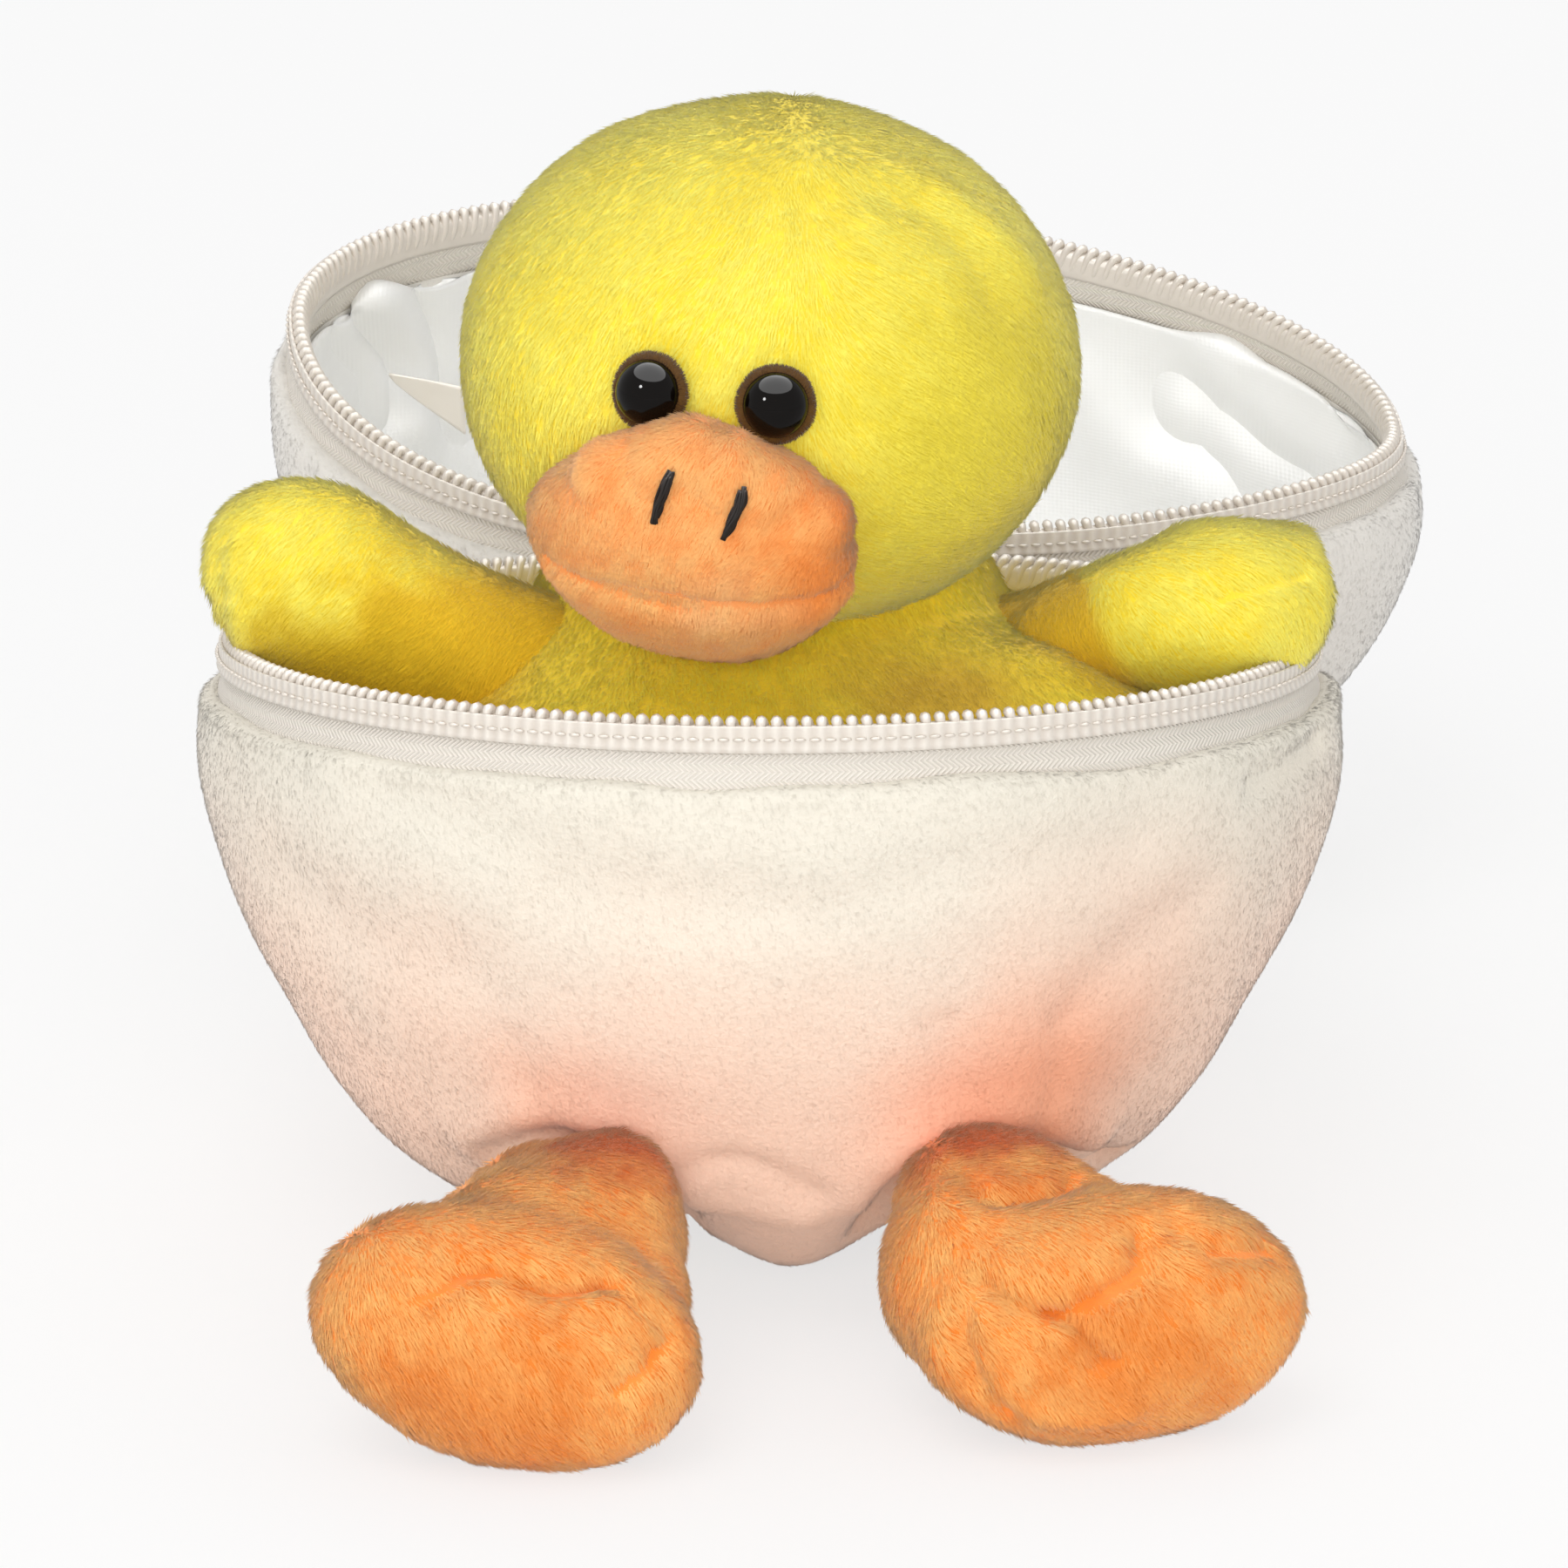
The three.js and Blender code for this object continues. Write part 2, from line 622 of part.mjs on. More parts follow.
function eyeSet(side, turn) {
  const backing = turned([
    new THREE.Vector2(eyeShankRadius + boreClearance, 0),
    new THREE.Vector2(eyeBackingRadius, 0),
    new THREE.Vector2(eyeBackingRadius, eyeBackingWall),
    new THREE.Vector2(eyeShankRadius + boreClearance, eyeBackingWall),
    new THREE.Vector2(eyeShankRadius + boreClearance, 0),
  ]);
  const domeRows = 5;
  const dome = Array.from({ length: domeRows + 1 }, (_, k) => {
    const rise = (k / domeRows) * (Math.PI / 2);
    return new THREE.Vector2(eyeRadius * Math.cos(rise), eyeFlange + eyeDome * Math.sin(rise));
  });
  dome[domeRows].x = 0;
  const bead = turned([
    new THREE.Vector2(0, -eyeShankLength),
    new THREE.Vector2(eyeShankRadius, -eyeShankLength),
    new THREE.Vector2(eyeShankRadius, 0),
    new THREE.Vector2(eyeRadius, 0),
    ...dome,
  ]);
  const washer = turned([
    new THREE.Vector2(eyeShankRadius + boreClearance, 0),
    new THREE.Vector2(washerRadius, 0),
    new THREE.Vector2(washerRadius, washerWall),
    new THREE.Vector2(eyeShankRadius + boreClearance, washerWall),
    new THREE.Vector2(eyeShankRadius + boreClearance, 0),
  ]);
  const backingStand = seamGap;
  const beadStand = backingStand + eyeBackingWall + seamGap;
  return [
    facingOut(named(`eye_${side}_backing`, backing, fabrics.eyeBrown), turn, eyeRise, backingStand),
    facingOut(named(`eye_${side}`, bead, fabrics.eyeBlack), turn, eyeRise, beadStand),
    facingOut(
      named(`eye_${side}_washer`, washer, fabrics.washerPlastic),
      turn,
      eyeRise,
      -washerDepth - washerWall,
    ),
  ];
}

// The hole for an eye's shank, with the pocket its washer sits in
function eyeBore(turn) {
  const shank = turned([
    new THREE.Vector2(0, -eyeShankLength),
    new THREE.Vector2(eyeShankRadius + boreClearance, -eyeShankLength),
    new THREE.Vector2(eyeShankRadius + boreClearance, eyeShankLength),
    new THREE.Vector2(0, eyeShankLength),
  ]);
  const low = -washerDepth - washerWall - boreClearance;
  const pocket = turned([
    new THREE.Vector2(0, low),
    new THREE.Vector2(washerRadius + boreClearance, low),
    new THREE.Vector2(washerRadius + boreClearance, -washerDepth + boreClearance),
    new THREE.Vector2(0, -washerDepth + boreClearance),
  ]);
  const placed = facingOut(new THREE.Mesh(), turn, eyeRise, 0);
  return join(shank, pocket).applyMatrix4(placed.matrix);
}

// The bill is a pillow wrapped round the front of the head, with a soft point towards the eyes.
// A place on it is a way across and a way up from its middle, measured on the head.
const billEdgeShare = 0.12; // of its thickness, where it meets the head
const billPeakShare = 60; // the larger, the narrower the point
const billPuffShare = 2.6; // above 2 its middle is flatter and its edge steeper

function billSurface(across, up, lift) {
  const turn = across * Math.cos(billRoll) + up * Math.sin(billRoll);
  const rise = up * Math.cos(billRoll) - across * Math.sin(billRoll);
  const { way, reach } = headSurface(turn / headHalfDepth + billTurn, rise / headHalfDepth - billPitch);
  return way.multiplyScalar(reach + seamGap + lift);
}

// How far out a place lies between the bill's middle and its edge
function billShare(across, up) {
  return Math.hypot(across / billHalfWidth, up / (up > 0 ? billAbove : billBelow));
}

const billLift = (share) =>
  billThickness * (billEdgeShare + (1 - billEdgeShare) * (1 - share ** billPuffShare) ** (1 / billPuffShare));

const billFront = (across, up) => billSurface(across, up, billLift(billShare(across, up)));

function billFacing(across, up) {
  const alongAcross = billFront(across + seamGap, up).sub(billFront(across - seamGap, up));
  const alongUp = billFront(across, up + seamGap).sub(billFront(across, up - seamGap));
  return alongAcross.cross(alongUp).normalize();
}

function billForm() {
  const shares = [0.2, 0.45, 0.68, 0.86, 0.96, 1];
  const ringAt = (share, lift) =>
    Array.from({ length: billSteps }, (_, k) => {
      const angle = (k / billSteps) * fullTurn;
      const [sideways, upwards] = [Math.cos(angle), Math.sin(angle)];
      const peak = upwards > 0 ? billPeak * share ** 8 * upwards ** billPeakShare : 0;
      const up = share * (upwards > 0 ? billAbove : billBelow) * upwards + peak;
      return billSurface(share * billHalfWidth * sideways, up, lift);
    });
  const outside = shares.map((share) => ringAt(share, billLift(share)));
  const inside = [...shares].reverse().map((share) => ringAt(share, 0));
  return skinOver([...outside, ...inside]);
}

// The mouth seam splits the bill on a plane that looks out of the face
function mouthSide(side) {
  const low = side > 0 ? -seamGap / 2 : -2 * cutOverrun;
  const high = side > 0 ? 2 * cutOverrun : seamGap / 2;
  return block(new THREE.Vector3(-cutOverrun, -2 * cutOverrun, low), new THREE.Vector3(cutOverrun, 0, high))
    .rotateY(billRoll)
    .rotateX(mouthPitch);
}

// A nostril is a satin stitch that lies on the bill and leans with it
function nostril(side) {
  const onHead = headHalfDepth / (headHalfDepth + billThickness);
  const middleAcross = (nostrilShift + (side * nostrilSpacing) / 2) * onHead;
  const stitchShares = [0.03, 0.22, 0.5, 0.78, 0.97];
  const rings = stitchShares.map((stitchShare) => {
    const along = (stitchShare - 0.5) * nostrilLength * onHead;
    const across = middleAcross + along * Math.sin(nostrilRoll);
    const up = nostrilRise + along * Math.cos(nostrilRoll);
    const swell = Math.sin(Math.PI * stitchShare) ** 0.5;
    const out = billFacing(across, up);
    const middle = billFront(across, up).addScaledVector(out, seamGap + nostrilStand / 2);
    const sideways = new THREE.Vector3(Math.cos(nostrilRoll), 0, -Math.sin(nostrilRoll));
    return Array.from({ length: 6 }, (_, k) => {
      const angle = (k / 6) * fullTurn;
      return middle
        .clone()
        .addScaledVector(sideways, (nostrilWidth / 2) * swell * Math.cos(angle))
        .addScaledVector(out, (nostrilStand / 2) * swell * Math.sin(angle));
    });
  });
  return named(side < 0 ? "nostril_left" : "nostril_right", skinOver(rings), fabrics.thread);
}

function duckHead() {
  const head = placeHead(new THREE.Group());
  const skin = cut(headForm(0), eyeBore(-eyeTurn), eyeBore(eyeTurn));
  head.add(
    named("duck_head", skin, fabrics.yellowPlush),
    named("bill_upper", cut(billForm(), mouthSide(-1)), fabrics.billPlush),
    named("bill_lower", cut(billForm(), mouthSide(1)), fabrics.billPlush),
    nostril(-1),
    nostril(1),
    ...eyeSet("left", -eyeTurn),
    ...eyeSet("right", eyeTurn),
  );
  return head;
}

// Cuts away what a piece would press into while it swings up about its seam
function cutForSwing(form, tool, seam, axis, lift) {
  const steps = 4;
  const swings = Array.from({ length: steps }, (_, k) => (-lift * k) / (steps - 1));
  const tools = swings.map((swing) =>
    tool
      .clone()
      .translate(-seam.x, -seam.y, -seam.z)
      .applyMatrix4(new THREE.Matrix4().makeRotationAxis(axis, swing))
      .translate(seam.x, seam.y, seam.z),
  );
  return cut(form, ...tools);
}

// A place a given way above the plane of the lower half's rim
const aboveRim = (x, forward, rise) =>
  new THREE.Vector3(x, -forward, eggRimHeight + forward * Math.sin(eggLean) + rise);

function wing(name, root, tip) {
  const stationShares = [0, 0.05, 0.17, 0.34, 0.52, 0.7, 0.84, 0.94, 1];
  const swellShares = [0.3, 0.56, 0.74, 0.82, 0.93, 1, 0.89, 0.62, 0.26];
  const form = stuffedForm(root, tip, stationShares, swellShares, wingHalfHeight, wingHalfThickness);
  const along = new THREE.Vector3().subVectors(tip, root);
  const axis = along.clone().cross(upward).normalize();
  const resting = cut(form, eggEnvelope());
  return named(name, cutForSwing(resting, torsoForm(seamGap), root, axis, wingLift), fabrics.yellowPlush);
}

function wings() {
  const rootX = torsoShoulder - wingRootInset;
  return [
    wing(
      "wing_left",
      aboveRim(-rootX, wingLeftRootForward, wingLeftRootRise),
      aboveRim(-eggHalfWidth - wingLeftOverhang, wingLeftTipForward, wingLeftTipRise),
    ),
    wing(
      "wing_right",
      aboveRim(rootX, wingRightRootForward, wingRightRootRise),
      aboveRim(eggHalfWidth + wingRightOverhang, wingRightTipForward, wingRightTipRise),
    ),
  ];
}

// A foot pad standing on its edge, sole to the front, with its middle over the given point
function footForm(middle, turn, roll, grow) {
  const thicknessShares = [-1, -0.9, -0.66, -0.3, 0.1, 0.5, 0.8, 0.96];
  const outlineShares = thicknessShares.map((share) => (1 - Math.abs(share) ** 2.3) ** 0.5);
  outlineShares[0] = 0.3;
  outlineShares[7] = 0.34;
  const rings = thicknessShares.map((share, i) =>
    Array.from({ length: limbSteps }, (_, k) => {
      const angle = (k / limbSteps) * fullTurn;
      return new THREE.Vector3(
        (footHalfLength + grow) * outlineShares[i] * Math.cos(angle),
        (footHalfThickness + grow) * share,
        (footHalfHeight + grow) * outlineShares[i] * Math.sin(angle),
      );
    }),
  );
  const lowest = Math.hypot(footHalfLength * Math.sin(roll), footHalfHeight * Math.cos(roll));
  const form = skinOver(rings).rotateY(roll).rotateZ(turn).translate(middle.x, middle.y, lowest - footPress);
  const table = block(
    new THREE.Vector3(middle.x - cutOverrun, middle.y - cutOverrun, -cutOverrun),
    new THREE.Vector3(middle.x + cutOverrun, middle.y + cutOverrun, 0),
  );
  return cut(form, table);
}

// The leg starts round at the seam in the shell, so that it can swing there, and widens over the heel
function leg(name, knee, middle, turn, roll) {
  const heel = new THREE.Vector3(middle.x, middle.y, footHalfHeight);
  const out = new THREE.Vector3().subVectors(heel, knee).normalize();
  const back = knee.clone().addScaledVector(out, -legRadius);
  const stationShares = [0.01, 0.06, 0.18, 0.36, 0.6, 0.8, 0.93, 1];
  const swellShares = [0.24, 0.56, 0.84, 1, 1.04, 1.06, 0.8, 0.4];
  const form = stuffedForm(back, heel, stationShares, swellShares, legRadius, legRadius);
  const clear = cut(form, footForm(middle, turn, roll, seamGap));
  const axis = new THREE.Vector3(-1, 0, 0);
  return named(name, cutForSwing(clear, eggEnvelope(), knee, axis, legLift), fabrics.footPlush);
}

function legAndFoot(side, place, reach, turn, roll) {
  const knee = wallPoint(lowerHalf, place, eggRimHeight - legSeamHeight, -legRadius);
  const middle = new THREE.Vector2(knee.x + reach.x, knee.y + reach.y);
  return [
    leg(`leg_${side}`, knee, middle, turn, roll),
    named(`foot_${side}`, footForm(middle, turn, roll, 0), fabrics.footPlush),
  ];
}

function duckFeet() {
  return [
    ...legAndFoot("left", legLeftPlace, legLeftReach, footLeftTurn, footLeftRoll),
    ...legAndFoot("right", legRightPlace, legRightReach, footRightTurn, footRightRoll),
  ];
}

// A bare care label, sewn by one edge to the lining on the lid's left
function careLabel() {
  const angle = 0.88 * Math.PI;
  const inset = plushWall + liningWall + 2 * seamGap;
  const seat = wallPoint(lidHalf, angle, labelDrop + labelHeight / 2, inset);
  seat.z += labelHeight / 2;
  const inward = new THREE.Vector2(lidHalf.middle.x - seat.x, lidHalf.middle.y - seat.y).angle();
  const flap = block(
    new THREE.Vector3(seamGap, -labelWall / 2, -labelHeight / 2),
    new THREE.Vector3(seamGap + labelLength, labelWall / 2, labelHeight / 2),
  );
  const label = named("care_label", flap, fabrics.label);
  label.position.copy(seat);
  label.rotation.z = inward;
  return label;
}

const toy = new THREE.Group();
const tapes = zipTapes();
const chains = zipChains();
const stops = zipStops();
const leaves = hingeLeaves();
const egg = new THREE.Group();
egg.add(lowerShell(), lowerLining(), tapes.lower, chains.lower, stops.lower, leaves.lower, zipSlider());
const lid = new THREE.Group();
lid.add(lidShell(), lidLining(), tapes.lid, chains.lid, stops.lid, leaves.lid, careLabel());
const duck = new THREE.Group();
duck.add(
  duckTorso(),
  duckHead(),
  ...wings(),
  ...duckFeet(),
);
toy.add(egg, lid, duck);

export default toy;
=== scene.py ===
"""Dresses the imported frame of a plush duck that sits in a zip-open egg.

Metres, +Z up, in the frame's own place. Left is the left of somebody who faces the duck, so it is -X.
"""

import math

import bmesh
import bpy
import numpy as np
from bpy.props import FloatProperty, FloatVectorProperty, PointerProperty
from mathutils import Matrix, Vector
from mathutils.bvhtree import BVHTree


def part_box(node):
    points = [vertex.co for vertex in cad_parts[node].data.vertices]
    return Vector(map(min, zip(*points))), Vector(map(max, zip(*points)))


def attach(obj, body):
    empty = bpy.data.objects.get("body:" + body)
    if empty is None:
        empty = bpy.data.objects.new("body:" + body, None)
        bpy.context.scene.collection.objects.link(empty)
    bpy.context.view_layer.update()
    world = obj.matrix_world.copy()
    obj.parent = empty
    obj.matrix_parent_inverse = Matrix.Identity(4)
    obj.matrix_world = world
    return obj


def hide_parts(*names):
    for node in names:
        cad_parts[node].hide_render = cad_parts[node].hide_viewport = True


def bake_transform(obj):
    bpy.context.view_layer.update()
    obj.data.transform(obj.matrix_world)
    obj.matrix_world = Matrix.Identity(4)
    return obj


bl_info = {
    "name": "Plush duck in an egg",
    "version": (1, 0, 0),
    "blender": (4, 5, 0),
    "location": "3D View > Sidebar > Plush duck",
    "description": "Builds the plush, zip, lining and eyes of a toy duck around its frame",
    "category": "Add Mesh",
}

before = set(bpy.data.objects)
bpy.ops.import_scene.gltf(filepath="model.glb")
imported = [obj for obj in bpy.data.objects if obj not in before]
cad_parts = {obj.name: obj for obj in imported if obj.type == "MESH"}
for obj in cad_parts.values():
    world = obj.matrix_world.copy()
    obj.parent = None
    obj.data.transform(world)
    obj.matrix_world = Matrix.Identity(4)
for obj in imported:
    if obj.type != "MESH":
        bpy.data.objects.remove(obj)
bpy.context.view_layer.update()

MM = 0.001
FULL_TURN = 2 * math.pi
UPWARD = np.array([0.0, 0.0, 1.0])

# Where the photograph was taken from, and how many pixels it has each way
CAMERA_AIM = Vector((1.56, -4.9, 47.6)) * MM
CAMERA_DISTANCE = 900 * MM
CAMERA_ELEVATION = math.radians(20)
LENS = 0.1962
SENSOR = 0.036
PHOTO_SIDE = 1800
ROOM_LIGHT = 0.69

# Outline of both halves of the egg: shares of the rim's radius at shares of its height, rim to table
RADIUS_SHARES = np.array([1, 1.022, 1.034, 1.0, 0.95, 0.885, 0.805, 0.69, 0.52, 0.34])
DEPTH_SHARES = np.array([0, 0.075, 0.175, 0.35, 0.485, 0.605, 0.735, 0.855, 0.95, 1])
HINGE_SOFTNESS = 2 * MM
PLUSH_WALL = 2.6 * MM
LINING_WALL = 0.8 * MM
SEAM_GAP = 0.3 * MM
TAPE_HEIGHT = 4.7 * MM
TAPE_INSET = 1.2 * MM
TAPE_WALL = 1.4 * MM
CHAIN_HEIGHT = 2.8 * MM
CHAIN_INSET = 0.5 * MM
CHAIN_WALL = 2.2 * MM
TOOTH_PITCH = 1.5 * MM
COIL_THREAD = 0.42 * MM  # radius of the nylon thread that the teeth are bent from
COIL_HEAD = 0.58 * MM  # and where it is pressed wider, at the head of a tooth
COIL_FOOT = -0.9 * MM
STITCH_THREAD = 0.2 * MM
COVER_INSET = 0.15 * MM
COVER_WALL = 0.5 * MM
SLIDER_ROOM = 10.2 * MM
STOP_ROOM = 3.2 * MM
HINGE_HALF_WIDTH = 17 * MM
PULL_ROOM = 8 * MM
PULL_DENT = 0.7 * MM
HINGE_SHIFT = 2.5 * MM

PILE_MAP = "OFBake"
TUFTS_A_PIECE = 49_000
CLUMP = 1.5 * MM  # tufts lean together over about this distance

# How much the body narrows towards its neck
NECK_WIDTH = 0.7
NECK_DEPTH = 0.9

# Mounds of the body under the wings: middle x and y, reach and rise, in mm
SHOULDERS = (((-42, -30), 14, -7), ((30, -24), 10, 3.5))

# Wings: middle x, y and z, half height and half thickness, from the shoulder to the tip, in mm
LEFT_WING = (
    (-12, -8, 60, 6.0, 6.0),
    (-20, -10, 61, 9.0, 8.0),
    (-27, -11, 62.4, 10.4, 9.4),
    (-33, -11.5, 64.2, 11.6, 10.2),
    (-38, -11.5, 66.2, 12.6, 10.6),
    (-43, -11, 68.6, 13.4, 10.6),
    (-48, -10, 70.4, 12.6, 10.0),
    (-52.5, -9.5, 71.8, 10.4, 8.8),
    (-56, -9, 72.6, 7.6, 6.6),
    (-58.6, -9, 72.6, 4.2, 3.6),
    (-59.6, -9, 72.6, 0.4, 0.4),
)
RIGHT_WING = (
    (15, -1, 61, 3.6, 4.0),
    (22, -4, 63, 5.0, 5.4),
    (28, -8, 65, 6.0, 6.4),
    (32, -12, 67.4, 6.8, 7.2),
    (35.5, -15, 69.4, 7.6, 8.0),
    (39, -17, 70.6, 8.5, 8.8),
    (43, -17, 71, 9.2, 9.2),
    (47.5, -16.2, 71.0, 9.6, 9.0),
    (51.5, -13.6, 71.2, 9.0, 7.8),
    (54.6, -10.0, 71.6, 7.1, 5.6),
    (56.8, -9.0, 72.6, 4.0, 3.4),
    (57.8, -9.0, 72.6, 0.4, 0.4),
)

# Where stuffing thickens the ankles: middle and radius in mm
LEFT_CALF = (((-23.5, -61, 15), 11.6), ((-19.6, -56, 17.4), 9.8), ((-14.4, -62.5, 14.2), 6.4),
             ((-23.5, -52, 17.6), 7.6))
RIGHT_CALF = (((22.4, -59, 15.0), 11.0),)

# Creases and folds, as pixels of the photograph, with their width and depth in mm
LEFT_WING_CREASES = (
    (((228, 640), (252, 646), (275, 643)), 1.4, 0.5),
    (((236, 600), (262, 612)), 1.0, 0.6),
    (((240, 685), (268, 676)), 1.0, 0.6),
)
RIGHT_WING_CREASES = (
    (((1525, 648), (1490, 656), (1450, 668), (1400, 680)), 0.9, 0.8),
    (((1380, 686), (1340, 705), (1300, 735)), 1.6, 0.3),
)
HEAD_CREASES = (
    (((997, 209), (1057, 239), (1112, 289), (1132, 329)), 3.0, 0.6),
    (((933, 189), (992, 196), (1062, 212), (1122, 252), (1172, 296)), 3.0, -0.6),
    (((925, 235), (950, 300), (946, 350), (964, 392)), 3.0, 0.5),
)
LEFT_FOOT_CREASES = (
    (((518, 1458), (565, 1456), (612, 1474), (659, 1477), (691, 1468)), 1.1, 1.3),
    (((470, 1485), (518, 1470)), 1.0, 0.6),
    (((560, 1490), (640, 1500), (710, 1520), (750, 1545)), 1.4, 0.7),
    (((732, 1493), (764, 1522), (758, 1550), (710, 1590)), 1.3, 0.8),
    (((601, 1468), (626, 1478), (660, 1474), (700, 1472)), 1.0, 0.9),
)
RIGHT_FOOT_CREASES = (
    (((1028, 1356), (1114, 1364), (1161, 1370), (1225, 1352), (1262, 1334)), 1.5, 1.6),
    (((1118, 1464), (1161, 1493), (1201, 1507), (1256, 1487), (1303, 1456), (1303, 1412)), 1.4, 1.7),
    (((1201, 1507), (1232, 1525), (1271, 1564)), 1.2, 2.0),
    (((1154, 1521), (1205, 1550), (1248, 1574)), 1.2, 1.0),
    (((1096, 1500), (1102, 1545), (1118, 1585), (1150, 1612)), 1.6, 1.1),
    (((1138, 1600), (1216, 1622), (1290, 1618)), 1.6, -0.8),
    (((1310, 1345), (1342, 1405), (1397, 1430), (1450, 1428)), 1.4, 1.0),
)
SHELL_CREASES = (
    (((566, 1324), (611, 1308), (664, 1313), (718, 1340), (772, 1385), (789, 1408)), 2.0, 1.7),
    (((545, 1310), (611, 1284), (674, 1288), (732, 1316), (790, 1356)), 3.6, -1.2),
    (((1003, 1405), (1022, 1370), (1057, 1340), (1111, 1318), (1164, 1311), (1245, 1338), (1281, 1340)),
     2.0, 2.6),
    (((990, 1370), (1040, 1322), (1111, 1292), (1180, 1286), (1250, 1306)), 3.6, -1.6),
    (((754, 1345), (825, 1334), (879, 1344), (930, 1370)), 1.8, 0.8),
    (((760, 1372), (850, 1382), (920, 1396)), 2.6, -0.8),
    (((430, 900), (560, 960), (700, 1010), (860, 1030)), 4.5, 0.9),
    (((640, 1035), (800, 1060), (960, 1045), (1100, 1000), (1300, 975)), 4.0, 0.8),
    (((1240, 1150), (1300, 1090), (1380, 1030)), 4.0, 0.9),
    (((330, 1010), (420, 1080), (520, 1110)), 5.0, 0.8),
    (((1440, 900), (1480, 880), (1515, 850)), 1.6, 1.0),
    (((640, 1290), (600, 1240), (590, 1200)), 2.2, 0.6),
    (((1110, 1290), (1090, 1230), (1080, 1180)), 2.2, 0.6),
    (((1190, 1290), (1215, 1230), (1225, 1180)), 2.2, 0.7),
)
LINING_FOLDS = (
    (((428, 350), (465, 392), (478, 437), (474, 492)), 4.0, -2.6),
    (((400, 372), (430, 412), (440, 470)), 3.2, 1.8),
    (((500, 330), (515, 400), (520, 470)), 4.0, 1.6),
    (((1252, 329), (1361, 474), (1433, 528), (1488, 555)), 5.0, 2.2),
    (((1300, 320), (1400, 420), (1480, 500), (1530, 520)), 5.0, -2.2),
    (((1240, 440), (1300, 520), (1380, 560)), 5.0, -2.0),
    (((1360, 330), (1460, 400), (1540, 480)), 4.5, 1.4),
)
BILL_CREASES = (
    (((625, 640), (680, 672), (745, 692), (830, 700), (900, 698), (950, 684), (980, 655)), 1.3, 0.9),
    (((700, 668), (783, 684), (848, 694), (928, 690)), 0.8, 0.5),
)

# Stuffing along the top of the bill: middle and radius in mm
BILL_BALLS = (
    ((-15.6, -40, 93.2), 3.8), ((-12.6, -40, 93.9), 4.0), ((-9.9, -41, 94.6), 4.6),
    ((-7.7, -41.0, 95.2), 4.6), ((-4.2, -41.5, 93.8), 5.0), ((-1.3, -41.5, 92.0), 5.0),
    ((1.2, -41, 91.2), 4.2), ((4.4, -41, 88.6), 4.2),
)

# The stitched nostrils, as pixels of the photograph
LEFT_NOSTRIL = ((770, 538), (762, 556), (755, 576), (750, 600))
RIGHT_NOSTRIL = ((853, 556), (848, 576), (838, 597), (829, 617))

# The soft point of the egg between the legs, and how much higher the plush is beside it
NUB_X = 2.6 * MM
NUB_REACH = 13 * MM
NUB_RISE = 5.5 * MM

# Black bead of an eye and the fuzzy ring behind it
BEAD_RADIUS = 3.3 * MM
BEAD_DOME = 2.7 * MM
SHANK_LENGTH = 8 * MM
RING_RADIUS = 2.9 * MM
RING_WIDTH = 0.85 * MM
RING_HEIGHT = 0.75 * MM

# Where the left foot's stuffing leans away from the other foot, towards its toe and its top
FOOT_INNER_SIDE = -16 * MM
TOE_FROM, TOE_TO, TOE_LEAN = 68 * MM, 80 * MM, 0.26
TOP_FROM, TOP_TO, TOP_LEAN = 15 * MM, 20 * MM, 0.12

# Spots of another colour on the duck's plush: middle, near and far reach in mm, strength, colour 0 to 255.
# Most are painted shade or painted light, as marked at each spot.
HEAD_SHADE_AND_TONE_SPOTS = (
    # Painted shade on the head's right side, away from the key lamp
    ((26, -30, 92), 4, 34, 0.85, (236, 216, 66)),
    # A deeper yellow on the crown
    ((6, -26, 122), 2, 12, 0.35, (250, 222, 60)),
)
TORSO_SHADE_SPOTS = (
    # Painted shadow of the head and bill, brown-gold, on the chest
    ((18, -34, 69), 2, 20, 0.75, (214, 166, 52)),
    # Painted golden shade on the body beside the left wing
    ((-33, -20, 64), 4, 16, 0.8, (255, 206, 36)),
    # Painted golden shade on the chest's right side
    ((34, -21, 68), 3, 13, 0.85, (255, 210, 10)),
)
WING_SHADE_SPOTS = (
    # Painted golden shade low on the left wing
    ((-48, -24, 57), 12, 20, 0.85, (222, 184, 30)),
    # Painted shade along the right wing's crease, where the pile throws no shadow
    ((53.5, -24, 72.5), 0.5, 4.5, 0.5, (236, 190, 24)),
)
BILL_SHADE_AND_LIGHT_SPOTS = (
    # Painted shade: deeper orange on the bill's right side
    ((9, -45, 83), 3, 14, 0.8, (250, 140, 56)),
    # Painted light: paler orange on the lower bill, which faces down
    ((-3, -50, 73), 3, 14, 0.7, (255, 204, 146)),
)
# Painted golden shade where each wing meets the body
WING_ROOT_SHADE = (252, 208, 44)
# Painted red-orange shadow where the legs go in under the egg's edge
LEG_TOP_SHADE = (214, 84, 32)
TOE_ORANGE = (243, 138, 56)

# Spots where the egg's plush is painted pink-orange round the legs, as painted glow of light thrown off the
# orange legs: middle, near and far reach in mm, strength
LEG_GLOW_SPOTS = (
    ((27, -47, 25), 4, 24, 0.68),
    ((-20, -50, 24), 3, 16, 0.35),
    ((32, -42, 42), 3, 26, 0.2),
)

# The stage, in metres
FLOOR_REACH = 3.0
LAMP_AIM = Vector((0, 0, 0.05))


def unit(rows):
    """Rows of vectors, each brought to length one."""
    return rows / np.maximum(np.linalg.norm(rows, axis=-1, keepdims=True), 1e-12)


def linear(colour):
    """A colour written as the eye sees it, 0 to 255, as the shader takes it."""
    shares = np.array(colour, float) / 255
    bright = np.where(shares <= 0.04045, shares / 12.92, ((shares + 0.055) / 1.055) ** 2.4)
    return (*bright.tolist(), 1.0)


# Colour of the painted glow that the orange legs throw onto the egg
LEG_GLOW_COLOUR = linear((248, 164, 120))


